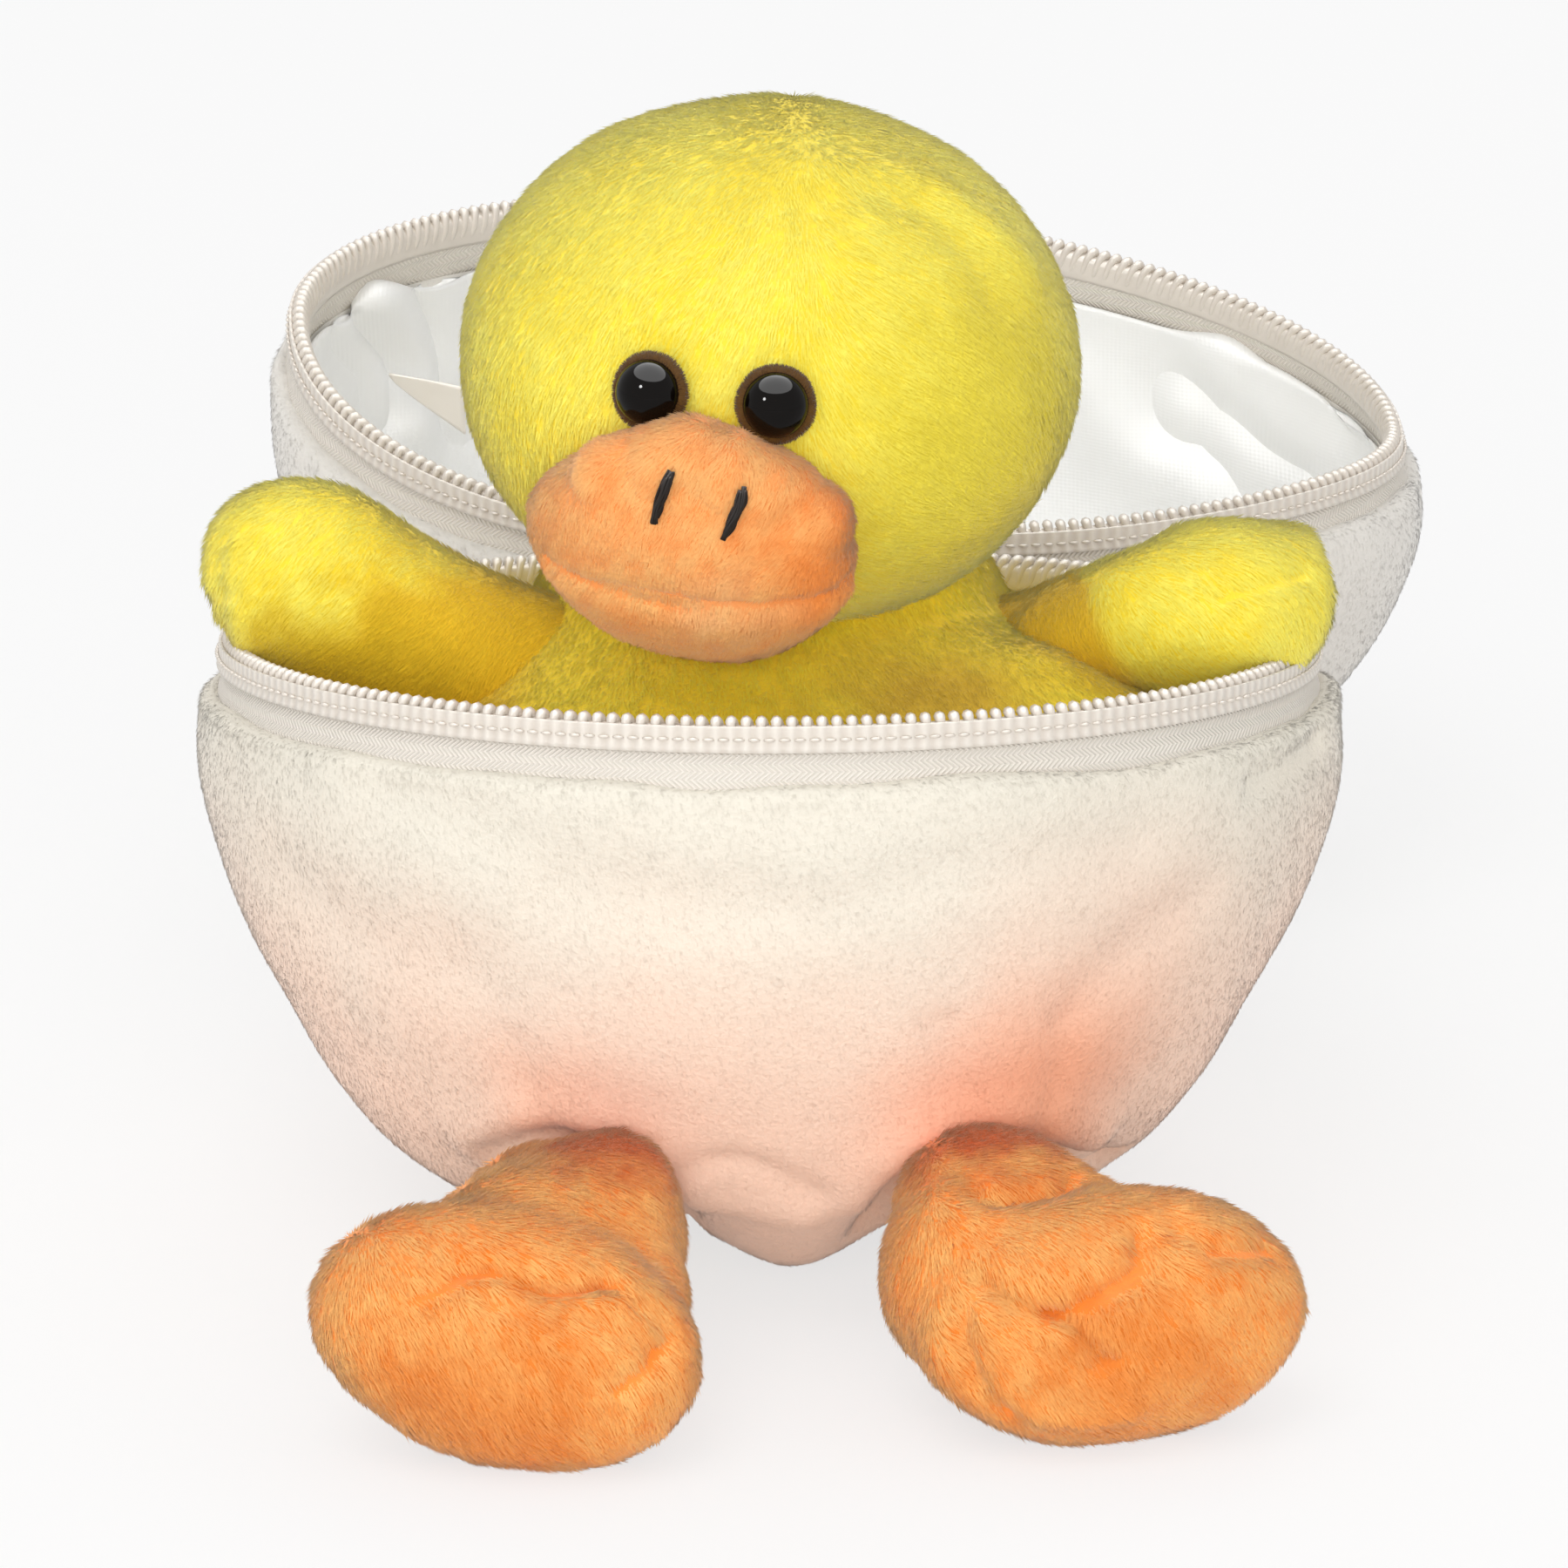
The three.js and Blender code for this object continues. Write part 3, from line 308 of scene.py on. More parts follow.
class ToySettings(bpy.types.PropertyGroup):
    """Sizes and colours of the toy that a user may change before building it."""

    pile_length: FloatProperty(
        name="Pile length", description="Length of the duck's plush", default=2.0 * MM, unit="LENGTH"
    )
    lean: FloatProperty(
        name="Pile lean", description="How far the pile stands up from the skin", default=0.2,
        unit="ROTATION",
    )
    pile_width: FloatProperty(
        name="Pile width", description="Width of a tuft at its root", default=0.24 * MM, unit="LENGTH"
    )
    egg_pile_length: FloatProperty(
        name="Egg pile length", description="Length of the egg's plush", default=1.0 * MM, unit="LENGTH"
    )
    yellow: FloatVectorProperty(
        name="Duck yellow", description="Colour of the duck's plush", subtype="COLOR", size=4,
        default=linear((255, 243, 104)), min=0, max=1,
    )
    yellow_deep: FloatVectorProperty(
        name="Duck yellow, deep", description="Colour low in the duck's plush", subtype="COLOR", size=4,
        default=linear((254, 224, 44)), min=0, max=1,
    )
    orange: FloatVectorProperty(
        name="Foot orange", description="Colour of the feet", subtype="COLOR", size=4,
        default=linear((255, 188, 110)), min=0, max=1,
    )
    orange_deep: FloatVectorProperty(
        name="Foot orange, deep", description="Colour low in the plush of the feet", subtype="COLOR", size=4,
        default=linear((250, 130, 32)), min=0, max=1,
    )
    bill: FloatVectorProperty(
        name="Bill orange", description="Colour of the bill", subtype="COLOR", size=4,
        default=linear((255, 190, 118)), min=0, max=1,
    )
    bill_deep: FloatVectorProperty(
        name="Bill orange, deep", description="Colour low in the plush of the bill", subtype="COLOR", size=4,
        default=linear((250, 144, 70)), min=0, max=1,
    )
    cream: FloatVectorProperty(
        name="Egg cream", description="Colour of the egg's lower half", subtype="COLOR", size=4,
        default=linear((226, 220, 206)), min=0, max=1,
    )
    blush: FloatVectorProperty(
        name="Egg blush", description="Tint of the egg near the feet", subtype="COLOR", size=4,
        default=linear((250, 216, 194)), min=0, max=1,
    )
    white: FloatVectorProperty(
        name="Lid white", description="Colour of the lid's plush", subtype="COLOR", size=4,
        default=linear((226, 222, 215)), min=0, max=1,
    )


def settings():
    return bpy.context.scene.plush_duck


class Wire:
    """A number that changes over a surface. Arithmetic on it adds the shader's own maths nodes."""

    def __init__(self, board, socket):
        self.board = board
        self.socket = socket

    def _maths(self, operation, *terms):
        return self.board.node("ShaderNodeMath", {"operation": operation}, dict(enumerate(terms)))

    def __add__(self, other):
        return self._maths("ADD", self, other)

    def __radd__(self, other):
        return self._maths("ADD", other, self)

    def __sub__(self, other):
        return self._maths("SUBTRACT", self, other)

    def __rsub__(self, other):
        return self._maths("SUBTRACT", other, self)

    def __mul__(self, other):
        return self._maths("MULTIPLY", self, other)

    def __rmul__(self, other):
        return self._maths("MULTIPLY", other, self)

    def sine(self):
        return self._maths("SINE", self)

    def bounce(self, size):
        return self._maths("PINGPONG", self, size)

    def clamped(self):
        return self.board.node("ShaderNodeClamp", {}, {"Value": self})


class Nodes:
    """A node tree that is added to."""

    def __init__(self, tree):
        self.tree = tree

    def node(self, kind, settings=None, inputs=None, output=0):
        made = self.tree.nodes.new(kind)
        for name, value in (settings or {}).items():
            setattr(made, name, value)
        for name, value in (inputs or {}).items():
            self.feed(made.inputs[name], value)
        return Wire(self, made.outputs[output])

    def feed(self, socket, value):
        if isinstance(value, Wire):
            self.tree.links.new(value.socket, socket)
        else:
            socket.default_value = value

    def seen_as_background(self):
        """1 for rays that show the background, in the camera, in gloss and through glass, and 0 for light."""
        rays = self.node("ShaderNodeLightPath").socket.node.outputs
        camera, glossy, through = (
            Wire(self, rays[f"Is {name} Ray"]) for name in ("Camera", "Glossy", "Transmission")
        )
        return (camera + glossy + through).clamped()


class Board(Nodes):
    """The node tree of one material, with a Principled shader at its end."""

    def __init__(self, name, **constants):
        self.material = bpy.data.materials.new(name)
        self.material.use_nodes = True
        super().__init__(self.material.node_tree)
        self.shader = self.tree.nodes["Principled BSDF"]
        for socket, value in constants.items():
            self.shader.inputs[socket.replace("_", " ")].default_value = value

    def attribute(self, name):
        return self.node("ShaderNodeAttribute", {"attribute_name": name}, output="Fac")

    def place(self):
        return self.node("ShaderNodeTexCoord", output="Object")

    def axes(self, vector):
        parts = self.node("ShaderNodeSeparateXYZ", {}, {0: vector}).socket.node
        return [Wire(self, socket) for socket in parts.outputs]

    def noise(self, size, detail=2.0, vector=None, roughness=0.5):
        """Soft noise from 0 to 1 whose lumps are about this size."""
        inputs = {
            "Vector": vector or self.place(),
            "Scale": 1 / size,
            "Detail": detail,
            "Roughness": roughness,
        }
        return self.node("ShaderNodeTexNoise", {}, inputs)

    def ranged(self, value, low, high, to_low=0.0, to_high=1.0):
        inputs = {0: value, 1: low, 2: high, 3: to_low, 4: to_high}
        return self.node("ShaderNodeMapRange", {"interpolation_type": "SMOOTHSTEP"}, inputs)

    def mixed(self, share, low, high, way="MIX"):
        """Two colours mixed by a share."""
        settings = {"data_type": "RGBA", "blend_type": way}
        return self.node("ShaderNodeMix", settings, {0: share, 6: low, 7: high}, output=2)

    def near_point(self, place, middle, near, far, wobble):
        """1 near a point, falling to 0 at its far reach, all in mm, with an edge that wobbles."""
        inputs = {0: place, 1: [value * MM for value in middle]}
        distance = self.node("ShaderNodeVectorMath", {"operation": "DISTANCE"}, inputs, output="Value")
        return self.ranged(distance + wobble, far * MM, near * MM)

    def bump(self, height, depth):
        return self.node("ShaderNodeBump", {}, {"Height": height, "Distance": depth})

    def colour(self, value):
        self.feed(self.shader.inputs["Base Color"], value)
        return self

    def normal(self, value):
        self.feed(self.shader.inputs["Normal"], value)
        return self

    def roughness(self, value):
        self.feed(self.shader.inputs["Roughness"], value)
        return self


def build_mesh(name, points, *face_sets):
    """An object from points and sets of faces, each an array with one row of corners a face."""
    mesh = bpy.data.meshes.new(name)
    points = np.asarray(points, np.float32)
    sizes = np.concatenate([np.full(len(faces), faces.shape[1]) for faces in face_sets])
    corners = np.concatenate([faces.ravel() for faces in face_sets]).astype(np.int32)
    mesh.vertices.add(len(points))
    mesh.vertices.foreach_set("co", points.ravel())
    mesh.loops.add(len(corners))
    mesh.loops.foreach_set("vertex_index", corners)
    mesh.polygons.add(len(sizes))
    mesh.polygons.foreach_set("loop_start", (np.cumsum(sizes) - sizes).astype(np.int32))
    mesh.update(calc_edges=True)
    mesh.shade_smooth()
    made = bpy.data.objects.new(name, mesh)
    bpy.context.scene.collection.objects.link(made)
    return made


def points_of(obj):
    found = np.empty(len(obj.data.vertices) * 3, np.float32)
    obj.data.vertices.foreach_get("co", found)
    return found.reshape(-1, 3).astype(float)


def normals_of(obj):
    found = np.empty(len(obj.data.vertices) * 3, np.float32)
    obj.data.vertex_normals.foreach_get("vector", found)
    return found.reshape(-1, 3).astype(float)


def triangles_of(obj):
    obj.data.calc_loop_triangles()
    found = np.empty(len(obj.data.loop_triangles) * 3, np.int32)
    obj.data.loop_triangles.foreach_get("vertices", found)
    return found.reshape(-1, 3)


def set_points(obj, points):
    obj.data.vertices.foreach_set("co", np.asarray(points, np.float32).ravel())
    obj.data.update()


def apply_modifiers(obj):
    made = bpy.data.meshes.new_from_object(obj.evaluated_get(bpy.context.evaluated_depsgraph_get()))
    obj.modifiers.clear()
    old = obj.data
    obj.data = made
    made.name = obj.name
    bpy.data.meshes.remove(old)


def finish_piece(obj, body, material, replaced=()):
    """Gives a piece its material and its body, and hides the imported nodes that it stands in for."""
    obj.data.materials.clear()
    obj.data.materials.append(material)
    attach(obj, body)
    if replaced:
        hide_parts(*replaced)


def ring_faces(rows, around, closed=True, first=0):
    """Faces between rows of points, each row going round once."""
    steps = around if closed else around - 1
    row, step = np.meshgrid(np.arange(rows - 1), np.arange(steps), indexing="ij")
    here = first + row * around + step
    beside = first + row * around + (step + 1) % around
    return np.stack([here, beside, beside + around, here + around], -1).reshape(-1, 4)


def fan_faces(ring, middle, outward):
    """Triangles from a ring of corner numbers to a middle point."""
    after = np.roll(ring, -1)
    order = [ring, after] if outward else [after, ring]
    return np.stack([*order, np.full(len(ring), middle)], -1)


def lofted(name, rings):
    """A closed skin through rings of points, with a fan over each end."""
    rings = np.asarray(rings)
    rows, around = rings.shape[:2]
    points = np.concatenate([rings.reshape(-1, 3), rings[:1].mean(1), rings[-1:].mean(1)])
    sides = ring_faces(rows, around)
    last = (rows - 1) * around
    start = fan_faces(np.arange(around), rows * around, False)
    end = fan_faces(last + np.arange(around), rows * around + 1, True)
    made = build_mesh(name, points, sides, np.concatenate([start, end]))
    turn_out(made)
    return made


def turn_out(obj):
    """Turns the faces of a closed piece outwards."""
    points, triangles = points_of(obj), triangles_of(obj)
    a, b, c = (points[triangles[:, k]] for k in range(3))
    if np.einsum("ij,ij->i", a, np.cross(b, c)).sum() < 0:
        obj.data.flip_normals()


def ripple(points, size, seed, waves=10):
    """Smooth random heights from about -1 to 1, whose lumps are about this size."""
    random = np.random.default_rng(seed)
    ways = unit(random.normal(size=(waves, 3))) * random.uniform(0.6, 1.4, (waves, 1))
    phases = random.uniform(0, FULL_TURN, waves)
    total = np.sin(points @ ways.T * (FULL_TURN / (2 * size)) + phases).sum(1)
    return total / math.sqrt(waves)


def near_path(points, path, width):
    """How near points lie to a path, from 1 on it to 0 far from it."""
    path = np.asarray(path, float)
    nearest = np.full(len(points), np.inf)
    for start, end in zip(path[:-1], path[1:]):
        along = end - start
        share = np.clip((points - start) @ along / max(along @ along, 1e-12), 0, 1)
        nearest = np.minimum(nearest, np.linalg.norm(points - start - share[:, None] * along, axis=1))
    return np.exp(-((nearest / width) ** 2))


def camera_place():
    back = Vector((0, -math.cos(CAMERA_ELEVATION), math.sin(CAMERA_ELEVATION)))
    return CAMERA_AIM + back * CAMERA_DISTANCE


def sight(pixel):
    """The way from the camera through a pixel of the photograph."""
    across = (pixel[0] / PHOTO_SIDE - 0.5) * SENSOR / LENS
    rise = (0.5 - pixel[1] / PHOTO_SIDE) * SENSOR / LENS
    ahead = Vector((0, math.cos(CAMERA_ELEVATION), -math.sin(CAMERA_ELEVATION)))
    up = Vector((0, math.sin(CAMERA_ELEVATION), math.cos(CAMERA_ELEVATION)))
    return (ahead + Vector((1, 0, 0)) * across + up * rise).normalized()


def seen_on(obj, pixels):
    """The places on a piece that show at these pixels of the photograph."""
    tree = BVHTree.FromObject(obj, bpy.context.evaluated_depsgraph_get())
    found = []
    for pixel in pixels:
        place, _, _, _ = tree.ray_cast(camera_place(), sight(pixel))
        if place is None:
            place, _, _, _ = tree.find_nearest(camera_place() + sight(pixel) * CAMERA_DISTANCE)
        found.append(place)
    return np.array(found)


def press(obj, creases):
    """Presses grooves into a piece along lines of the photograph. A negative depth raises a ridge."""
    points, normals = points_of(obj), normals_of(obj)
    moved = points.copy()
    for pixels, width, depth in creases:
        path = smooth_path(seen_on(obj, pixels), 12)
        moved -= normals * (near_path(points, path, width * MM) * depth * MM)[:, None]
    set_points(obj, moved)


def soft_form(name, nodes, voxel, rounds, swell=0.0, balls=()):
    """A smooth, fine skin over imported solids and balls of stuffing, swollen a little."""
    points, faces, first = [], [], 0
    turn, rise = np.meshgrid(np.arange(32) / 32 * FULL_TURN, np.linspace(-1.5, 1.5, 17))
    ball = np.stack([np.cos(turn) * np.cos(rise), np.sin(turn) * np.cos(rise), np.sin(rise)], -1)
    for middle, radius in balls:
        rounded = lofted("ball", np.array(middle) * MM + ball * radius * MM)
        points.append(points_of(rounded))
        faces.append(triangles_of(rounded) + first)
        first += len(points[-1])
        bpy.data.objects.remove(rounded)
    for node in nodes:
        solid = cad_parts[node]
        points.append(points_of(solid))
        faces.append(triangles_of(solid) + first)
        first += len(points[-1])
    made = build_mesh(name, np.concatenate(points), np.concatenate(faces))
    smooth_skin(made, voxel, rounds, swell)
    return made


def smooth_skin(obj, voxel, rounds, swell=0.0):
    remesh = obj.modifiers.new("Fine skin", "REMESH")
    remesh.mode = "VOXEL"
    remesh.voxel_size = voxel
    smooth = obj.modifiers.new("Soft edges", "SMOOTH")
    smooth.factor = 0.5
    smooth.iterations = rounds
    apply_modifiers(obj)
    obj.data.shade_smooth()
    if swell:
        set_points(obj, points_of(obj) + normals_of(obj) * swell)


def cut_skin(obj, name, place, way):
    """The part of a piece that lies behind a plane, closed along the cut."""
    form = bmesh.new()
    form.from_mesh(obj.data)
    geometry = [*form.verts, *form.edges, *form.faces]
    cut = bmesh.ops.bisect_plane(form, geom=geometry, plane_co=place, plane_no=way, clear_outer=True)
    rim = [item for item in cut["geom_cut"] if isinstance(item, bmesh.types.BMEdge)]
    bmesh.ops.holes_fill(form, edges=rim)
    mesh = bpy.data.meshes.new(name)
    form.to_mesh(mesh)
    form.free()
    mesh.shade_smooth()
    made = bpy.data.objects.new(name, mesh)
    bpy.context.scene.collection.objects.link(made)
    return made


def cubic(t, run, start, start_slope, end, end_slope):
    """A smooth step from one value to the next, a run further on, that keeps both slopes."""
    return (
        (2 * t**3 - 3 * t**2 + 1) * start
        + (t**3 - 2 * t**2 + t) * run * start_slope
        + (3 * t**2 - 2 * t**3) * end
        + (t**3 - t**2) * run * end_slope
    )


class EggHalf:
    """One half of the egg, whose wall is given by an angle round the rim and a depth below it."""

    def __init__(self, half_width, half_depth, hinge_reach, rim_height, hinge_side, middle, rise):
        self.half_width = half_width
        self.half_depth = half_depth
        self.hinge_reach = hinge_reach
        self.rim_height = rim_height
        self.hinge_side = hinge_side
        self.middle = middle
        self.rise = rise

    def radius_share(self, depth_share):
        slopes = np.gradient(RADIUS_SHARES, DEPTH_SHARES)
        place = np.clip(np.searchsorted(DEPTH_SHARES, depth_share) - 1, 0, len(DEPTH_SHARES) - 2)
        run = DEPTH_SHARES[place + 1] - DEPTH_SHARES[place]
        t = (depth_share - DEPTH_SHARES[place]) / run
        return cubic(t, run, RADIUS_SHARES[place], slopes[place], RADIUS_SHARES[place + 1], slopes[place + 1])

    def wall(self, angle, depth, inset=0.0):
        """Points of the wall. Angle, depth and inset are numbers or arrays that fit together."""
        angle, depth, inset = np.broadcast_arrays(
            np.asarray(angle, float), np.asarray(depth, float), np.asarray(inset, float)
        )
        share = np.clip(depth / self.rim_height, 0, 1)
        step = 0.02
        above, below = np.maximum(share - step, 0), np.minimum(share + step, 1)
        narrowing = (self.radius_share(above) - self.radius_share(below)) * self.half_width
        drop = (below - above) * self.rim_height
        slope = np.hypot(drop, narrowing)
        outward, downward = drop / slope, narrowing / slope
        x = self.half_width * np.cos(angle)
        reach = self.half_depth * np.sin(angle) * self.hinge_side
        limited = -HINGE_SOFTNESS * np.logaddexp(-reach / HINGE_SOFTNESS, -self.hinge_reach / HINGE_SOFTNESS)
        y = self.hinge_side * np.where(reach > 0, limited, reach)
        radius = self.radius_share(share) - inset * outward / np.hypot(x, y)
        x, y = x * radius, y * radius
        down = np.maximum(depth, 0) - inset * downward
        level = np.minimum(1, 1 - down / self.rim_height)
        z = level * (self.rim_height + self.rise(x, y)) + np.maximum(-depth, 0)
        return np.stack([self.middle[0] + x, self.middle[1] + y, z], -1)

    def angle_at(self, x):
        return math.acos((x - self.middle[0]) / self.half_width)


EGG_LEAN = math.radians(10)
EGG_RIM = 61 * MM
EGG_HINGE_REACH = 54 * MM
LID_PITCH = math.radians(6.5)
LID_TWIST = math.radians(6.6)
LID_HINGE_REACH = 47 * MM
LID_RIM = EGG_RIM - EGG_HINGE_REACH * math.sin(EGG_LEAN) + LID_HINGE_REACH * math.sin(LID_PITCH) + SEAM_GAP
LID_MIDDLE_X = 9 * MM
HALVES_APART = 2 * MM


def lower_rise(x, y):
    return -y * math.sin(EGG_LEAN)


def lid_rise(x, y):
    from_hinge = np.clip((y + LID_HINGE_REACH) / LID_HINGE_REACH, 0, 1)
    return y * math.sin(LID_PITCH) - x * math.sin(LID_TWIST) * from_hinge


LID_MIDDLE_Y = (EGG_HINGE_REACH + LID_HINGE_REACH) * RADIUS_SHARES.max() + HALVES_APART
lower_half = EggHalf(58 * MM, 57 * MM, EGG_HINGE_REACH, EGG_RIM, 1, (0.0, 0.0), lower_rise)
lid_half = EggHalf(
    65.4 * MM, 49.5 * MM, LID_HINGE_REACH, LID_RIM, -1, (LID_MIDDLE_X, LID_MIDDLE_Y), lid_rise
)


def over_rim(points):
    """How high points lie over the lower half's rim, which slopes down towards the hinge."""
    return points[:, 2] - lower_half.rim_height + points[:, 1] * math.sin(EGG_LEAN)


ZIP_LEFT = HINGE_SHIFT - HINGE_HALF_WIDTH
ZIP_RIGHT = HINGE_SHIFT + HINGE_HALF_WIDTH
LOWER_ZIP = (lower_half.angle_at(ZIP_LEFT), FULL_TURN + lower_half.angle_at(ZIP_RIGHT))
LID_ZIP = (-lid_half.angle_at(ZIP_RIGHT), FULL_TURN - lid_half.angle_at(ZIP_LEFT))


def smooth_path(rows, count):
    """Rows of numbers joined by a smooth curve and read at even steps."""
    rows = np.asarray(rows, float)
    at = np.linspace(0, len(rows) - 1, count)
    slopes = np.gradient(rows, axis=0)
    low = np.minimum(at.astype(int), len(rows) - 2)
    return cubic((at - low)[:, None], 1, rows[low], slopes[low], rows[low + 1], slopes[low + 1])


def light_sheen(colour):
    """A paler tone of a plush's colour, for the tips of its pile."""
    return tuple(0.35 + 0.65 * value for value in colour[:3]) + (1.0,)


def plush(name, light, deep, spots=(), patch=9 * MM):
    """Short pile: its colour drifts in soft patches and from tuft to tuft, deepens towards the roots as
    painted shade deep in the pile, and changes in some spots.
    """
    board = Board(name, Roughness=0.9, Sheen_Weight=0.65, Sheen_Roughness=0.5, Sheen_Tint=light_sheen(light),
                  Specular_IOR_Level=0.1)
    patches = board.ranged(board.noise(patch, 3.0), 0.35, 0.65)
    # Deeper colour at the roots, where reach is 0, is painted shade in the pile; the tuft and patch terms
    # vary at random
    share = 0.09 + board.attribute("reach") * 0.3 + board.attribute("tuft") * 0.6 + patches * 0.25
    place = board.place()
    light, deep = tuple(light), tuple(deep)
    # Each spot mixes its colour into both tones; most spots are painted shade or painted light
    for middle, near, far, strength, colour in spots:
        within = board.near_point(place, middle, near, far, (patches - 0.5) * (4 * MM)) * strength
        spot = linear(colour)
        light = board.mixed(within, light, spot)
        deep = board.mixed(within, deep, tuple(value * 0.82 for value in spot[:3]) + (1.0,))
    board.colour(board.mixed(share.clamped(), deep, light))
    board.normal(board.bump(board.noise(0.5 * MM, 2.0), 0.2 * MM))
    return board


def pile_tufts(base, count, length, width, lean, flow, keep, seed, ruffle):
    """Places, ways and sizes of tufts that stand on a piece's surface."""
    random = np.random.default_rng(seed)
    points, normals, triangles = points_of(base), normals_of(base), triangles_of(base)
    if keep is not None:
        triangles = triangles[keep(points[triangles].mean(1), unit(normals[triangles].mean(1)))]
    a, b, c = (points[triangles[:, k]] for k in range(3))
    areas = np.linalg.norm(np.cross(b - a, c - a), axis=1)
    chosen = np.searchsorted(np.cumsum(areas), random.random(count) * areas.sum())
    shares = random.random((count, 2))
    over = shares.sum(1) > 1
    shares[over] = 1 - shares[over]
    weights = np.column_stack([1 - shares.sum(1), shares])
    place = np.einsum("ij,ijk->ik", weights, points[triangles[chosen]])
    normal = unit(np.einsum("ij,ijk->ik", weights, normals[triangles[chosen]]))
    way = flow(place, normal)
    way = unit(way - normal * np.einsum("ij,ij->i", way, normal)[:, None])
    way += ruffle * np.column_stack([ripple(place, 7 * MM, seed + k) for k in range(3)])
    way += 0.6 * ruffle * np.column_stack([ripple(place, CLUMP, seed + 5 + k) for k in range(3)])
    way += 0.12 * random.normal(size=way.shape)
    way = unit(way - normal * np.einsum("ij,ij->i", way, normal)[:, None])
    clump = ripple(place, CLUMP, seed + 9) * ruffle / 0.35
    tilt = np.clip(lean + 0.06 * random.normal(size=count) + 0.06 * clump, 0.05, 1.3)[:, None]
    along = way * np.cos(tilt) + normal * np.sin(tilt)
    size = length * random.uniform(0.75, 1.1, (count, 1)) * (1 + 0.12 * clump[:, None])
    tone = np.clip(0.55 + 0.4 * clump + 0.6 * (random.random(count) - 0.5), 0, 1)
    return place, normal, along, size, width * random.uniform(0.7, 1.2, (count, 1)), tone


def pile(
    base, name, body, material, count, length, width, lean, flow, keep=None, seed=1, ruffle=0.25
):
    """Tufts of plush over a piece: each is one thin closed spike that leans along the nap."""
    *tufts, tone = pile_tufts(base, count, length, width, lean, flow, keep, seed, ruffle)
    order = np.argsort(tufts[0][:, 1])
    parts = math.ceil(count / TUFTS_A_PIECE)
    for part, chosen in enumerate(np.array_split(order, parts)):
        root, up, out, tall, broad = (rows[chosen] for rows in tufts)
        side = unit(np.cross(out, up))
        low = root - up * 0.1 * MM
        corners = np.stack(
            [low - side * broad / 2, low + side * broad / 2, low - up * broad * 0.7, root + out * tall], 1
        )
        corners[..., 2] = np.maximum(corners[..., 2], 0)
        first = 4 * np.arange(len(chosen))[:, None]
        spike = np.array([[0, 1, 3], [1, 2, 3], [2, 0, 3], [0, 2, 1]])
        faces = (first[:, :, None] + spike[None]).reshape(-1, 3)
        made = build_mesh(f"{name}_{part + 1}" if parts > 1 else name, corners.reshape(-1, 3), faces)
        shading = unit(up[:, None] * 0.8 + unit(corners - corners.mean(1, keepdims=True)) * 0.3)
        store(made, "custom_normal", "FLOAT_VECTOR", shading.reshape(-1, 3), "vector")
        store(made, "tuft", "FLOAT", np.repeat(tone[chosen], 4))
        store(made, "reach", "FLOAT", np.tile([0.0, 0.0, 0.0, 1.0], len(chosen)))
        grid_map(made, len(chosen))
        finish_piece(made, body, material)
        # Such fine fibres let the light through, so they throw no shadow of their own
        made.visible_shadow = False


def store(obj, name, kind, values, key="value"):
    layer = obj.data.attributes.new(name, kind, "POINT")
    layer.data.foreach_set(key, np.asarray(values, np.float32).ravel())


def grid_map(obj, tufts):
    """A map for textures with a cell of its own for each tuft."""
    across = math.ceil(math.sqrt(tufts))
    cell = np.arange(tufts)
    corner = np.column_stack([cell % across, cell // across]) / across
    inside = np.array([[0.1, 0.1], [0.9, 0.1], [0.5, 0.3], [0.5, 0.9]]) / across
    spots = (corner[:, None] + inside[None]).reshape(-1, 2)
    loops = np.empty(len(obj.data.loops), np.int32)
    obj.data.loops.foreach_get("vertex_index", loops)
    layer = obj.data.uv_layers.new(name=PILE_MAP)
    layer.uv.foreach_set("vector", spots[loops].astype(np.float32).ravel())


def steady(*way):
    """A nap that lies the same way all over."""
    aim = np.array(way, float)
    return lambda place, normal: np.tile(aim, (len(place), 1))


def bumpy(obj, size, height, seed):
    """Lifts and sinks a skin in soft lumps, as stuffing does."""
    points = points_of(obj)
    set_points(obj, points + normals_of(obj) * (ripple(points, size, seed) * height)[:, None])


class DUCK_OT_head(bpy.types.Operator):
    """Make the stuffed head with its plush"""

    bl_idname = "duck.head"
    bl_label = "Head"

    def execute(self, context):
        size = settings()
        head = soft_form("head_skin", ["duck_head"], 1.2 * MM, 24, -0.2 * MM)
        bumpy(head, 11 * MM, 0.15 * MM, 3)
        press(head, HEAD_CREASES)
        material = plush("head plush", size.yellow, size.yellow_deep, HEAD_SHADE_AND_TONE_SPOTS).material
        finish_piece(head, "head", material, ["duck_head"])

        def flow(place, normal):
            right = 0.5 + 0.5 * np.tanh((place[:, 0] - 6 * MM) / (5 * MM))
            down = -1.0 + 0.55 * right * (normal[:, 0] < 0.8)
            return np.column_stack([-0.35 + 1.35 * right, -0.3 * np.ones(len(place)), down])

        pile(head, "head_pile", "head", material, 97_000, size.pile_length,
             size.pile_width, size.lean, flow, seed=11, ruffle=0.14)
        return {"FINISHED"}


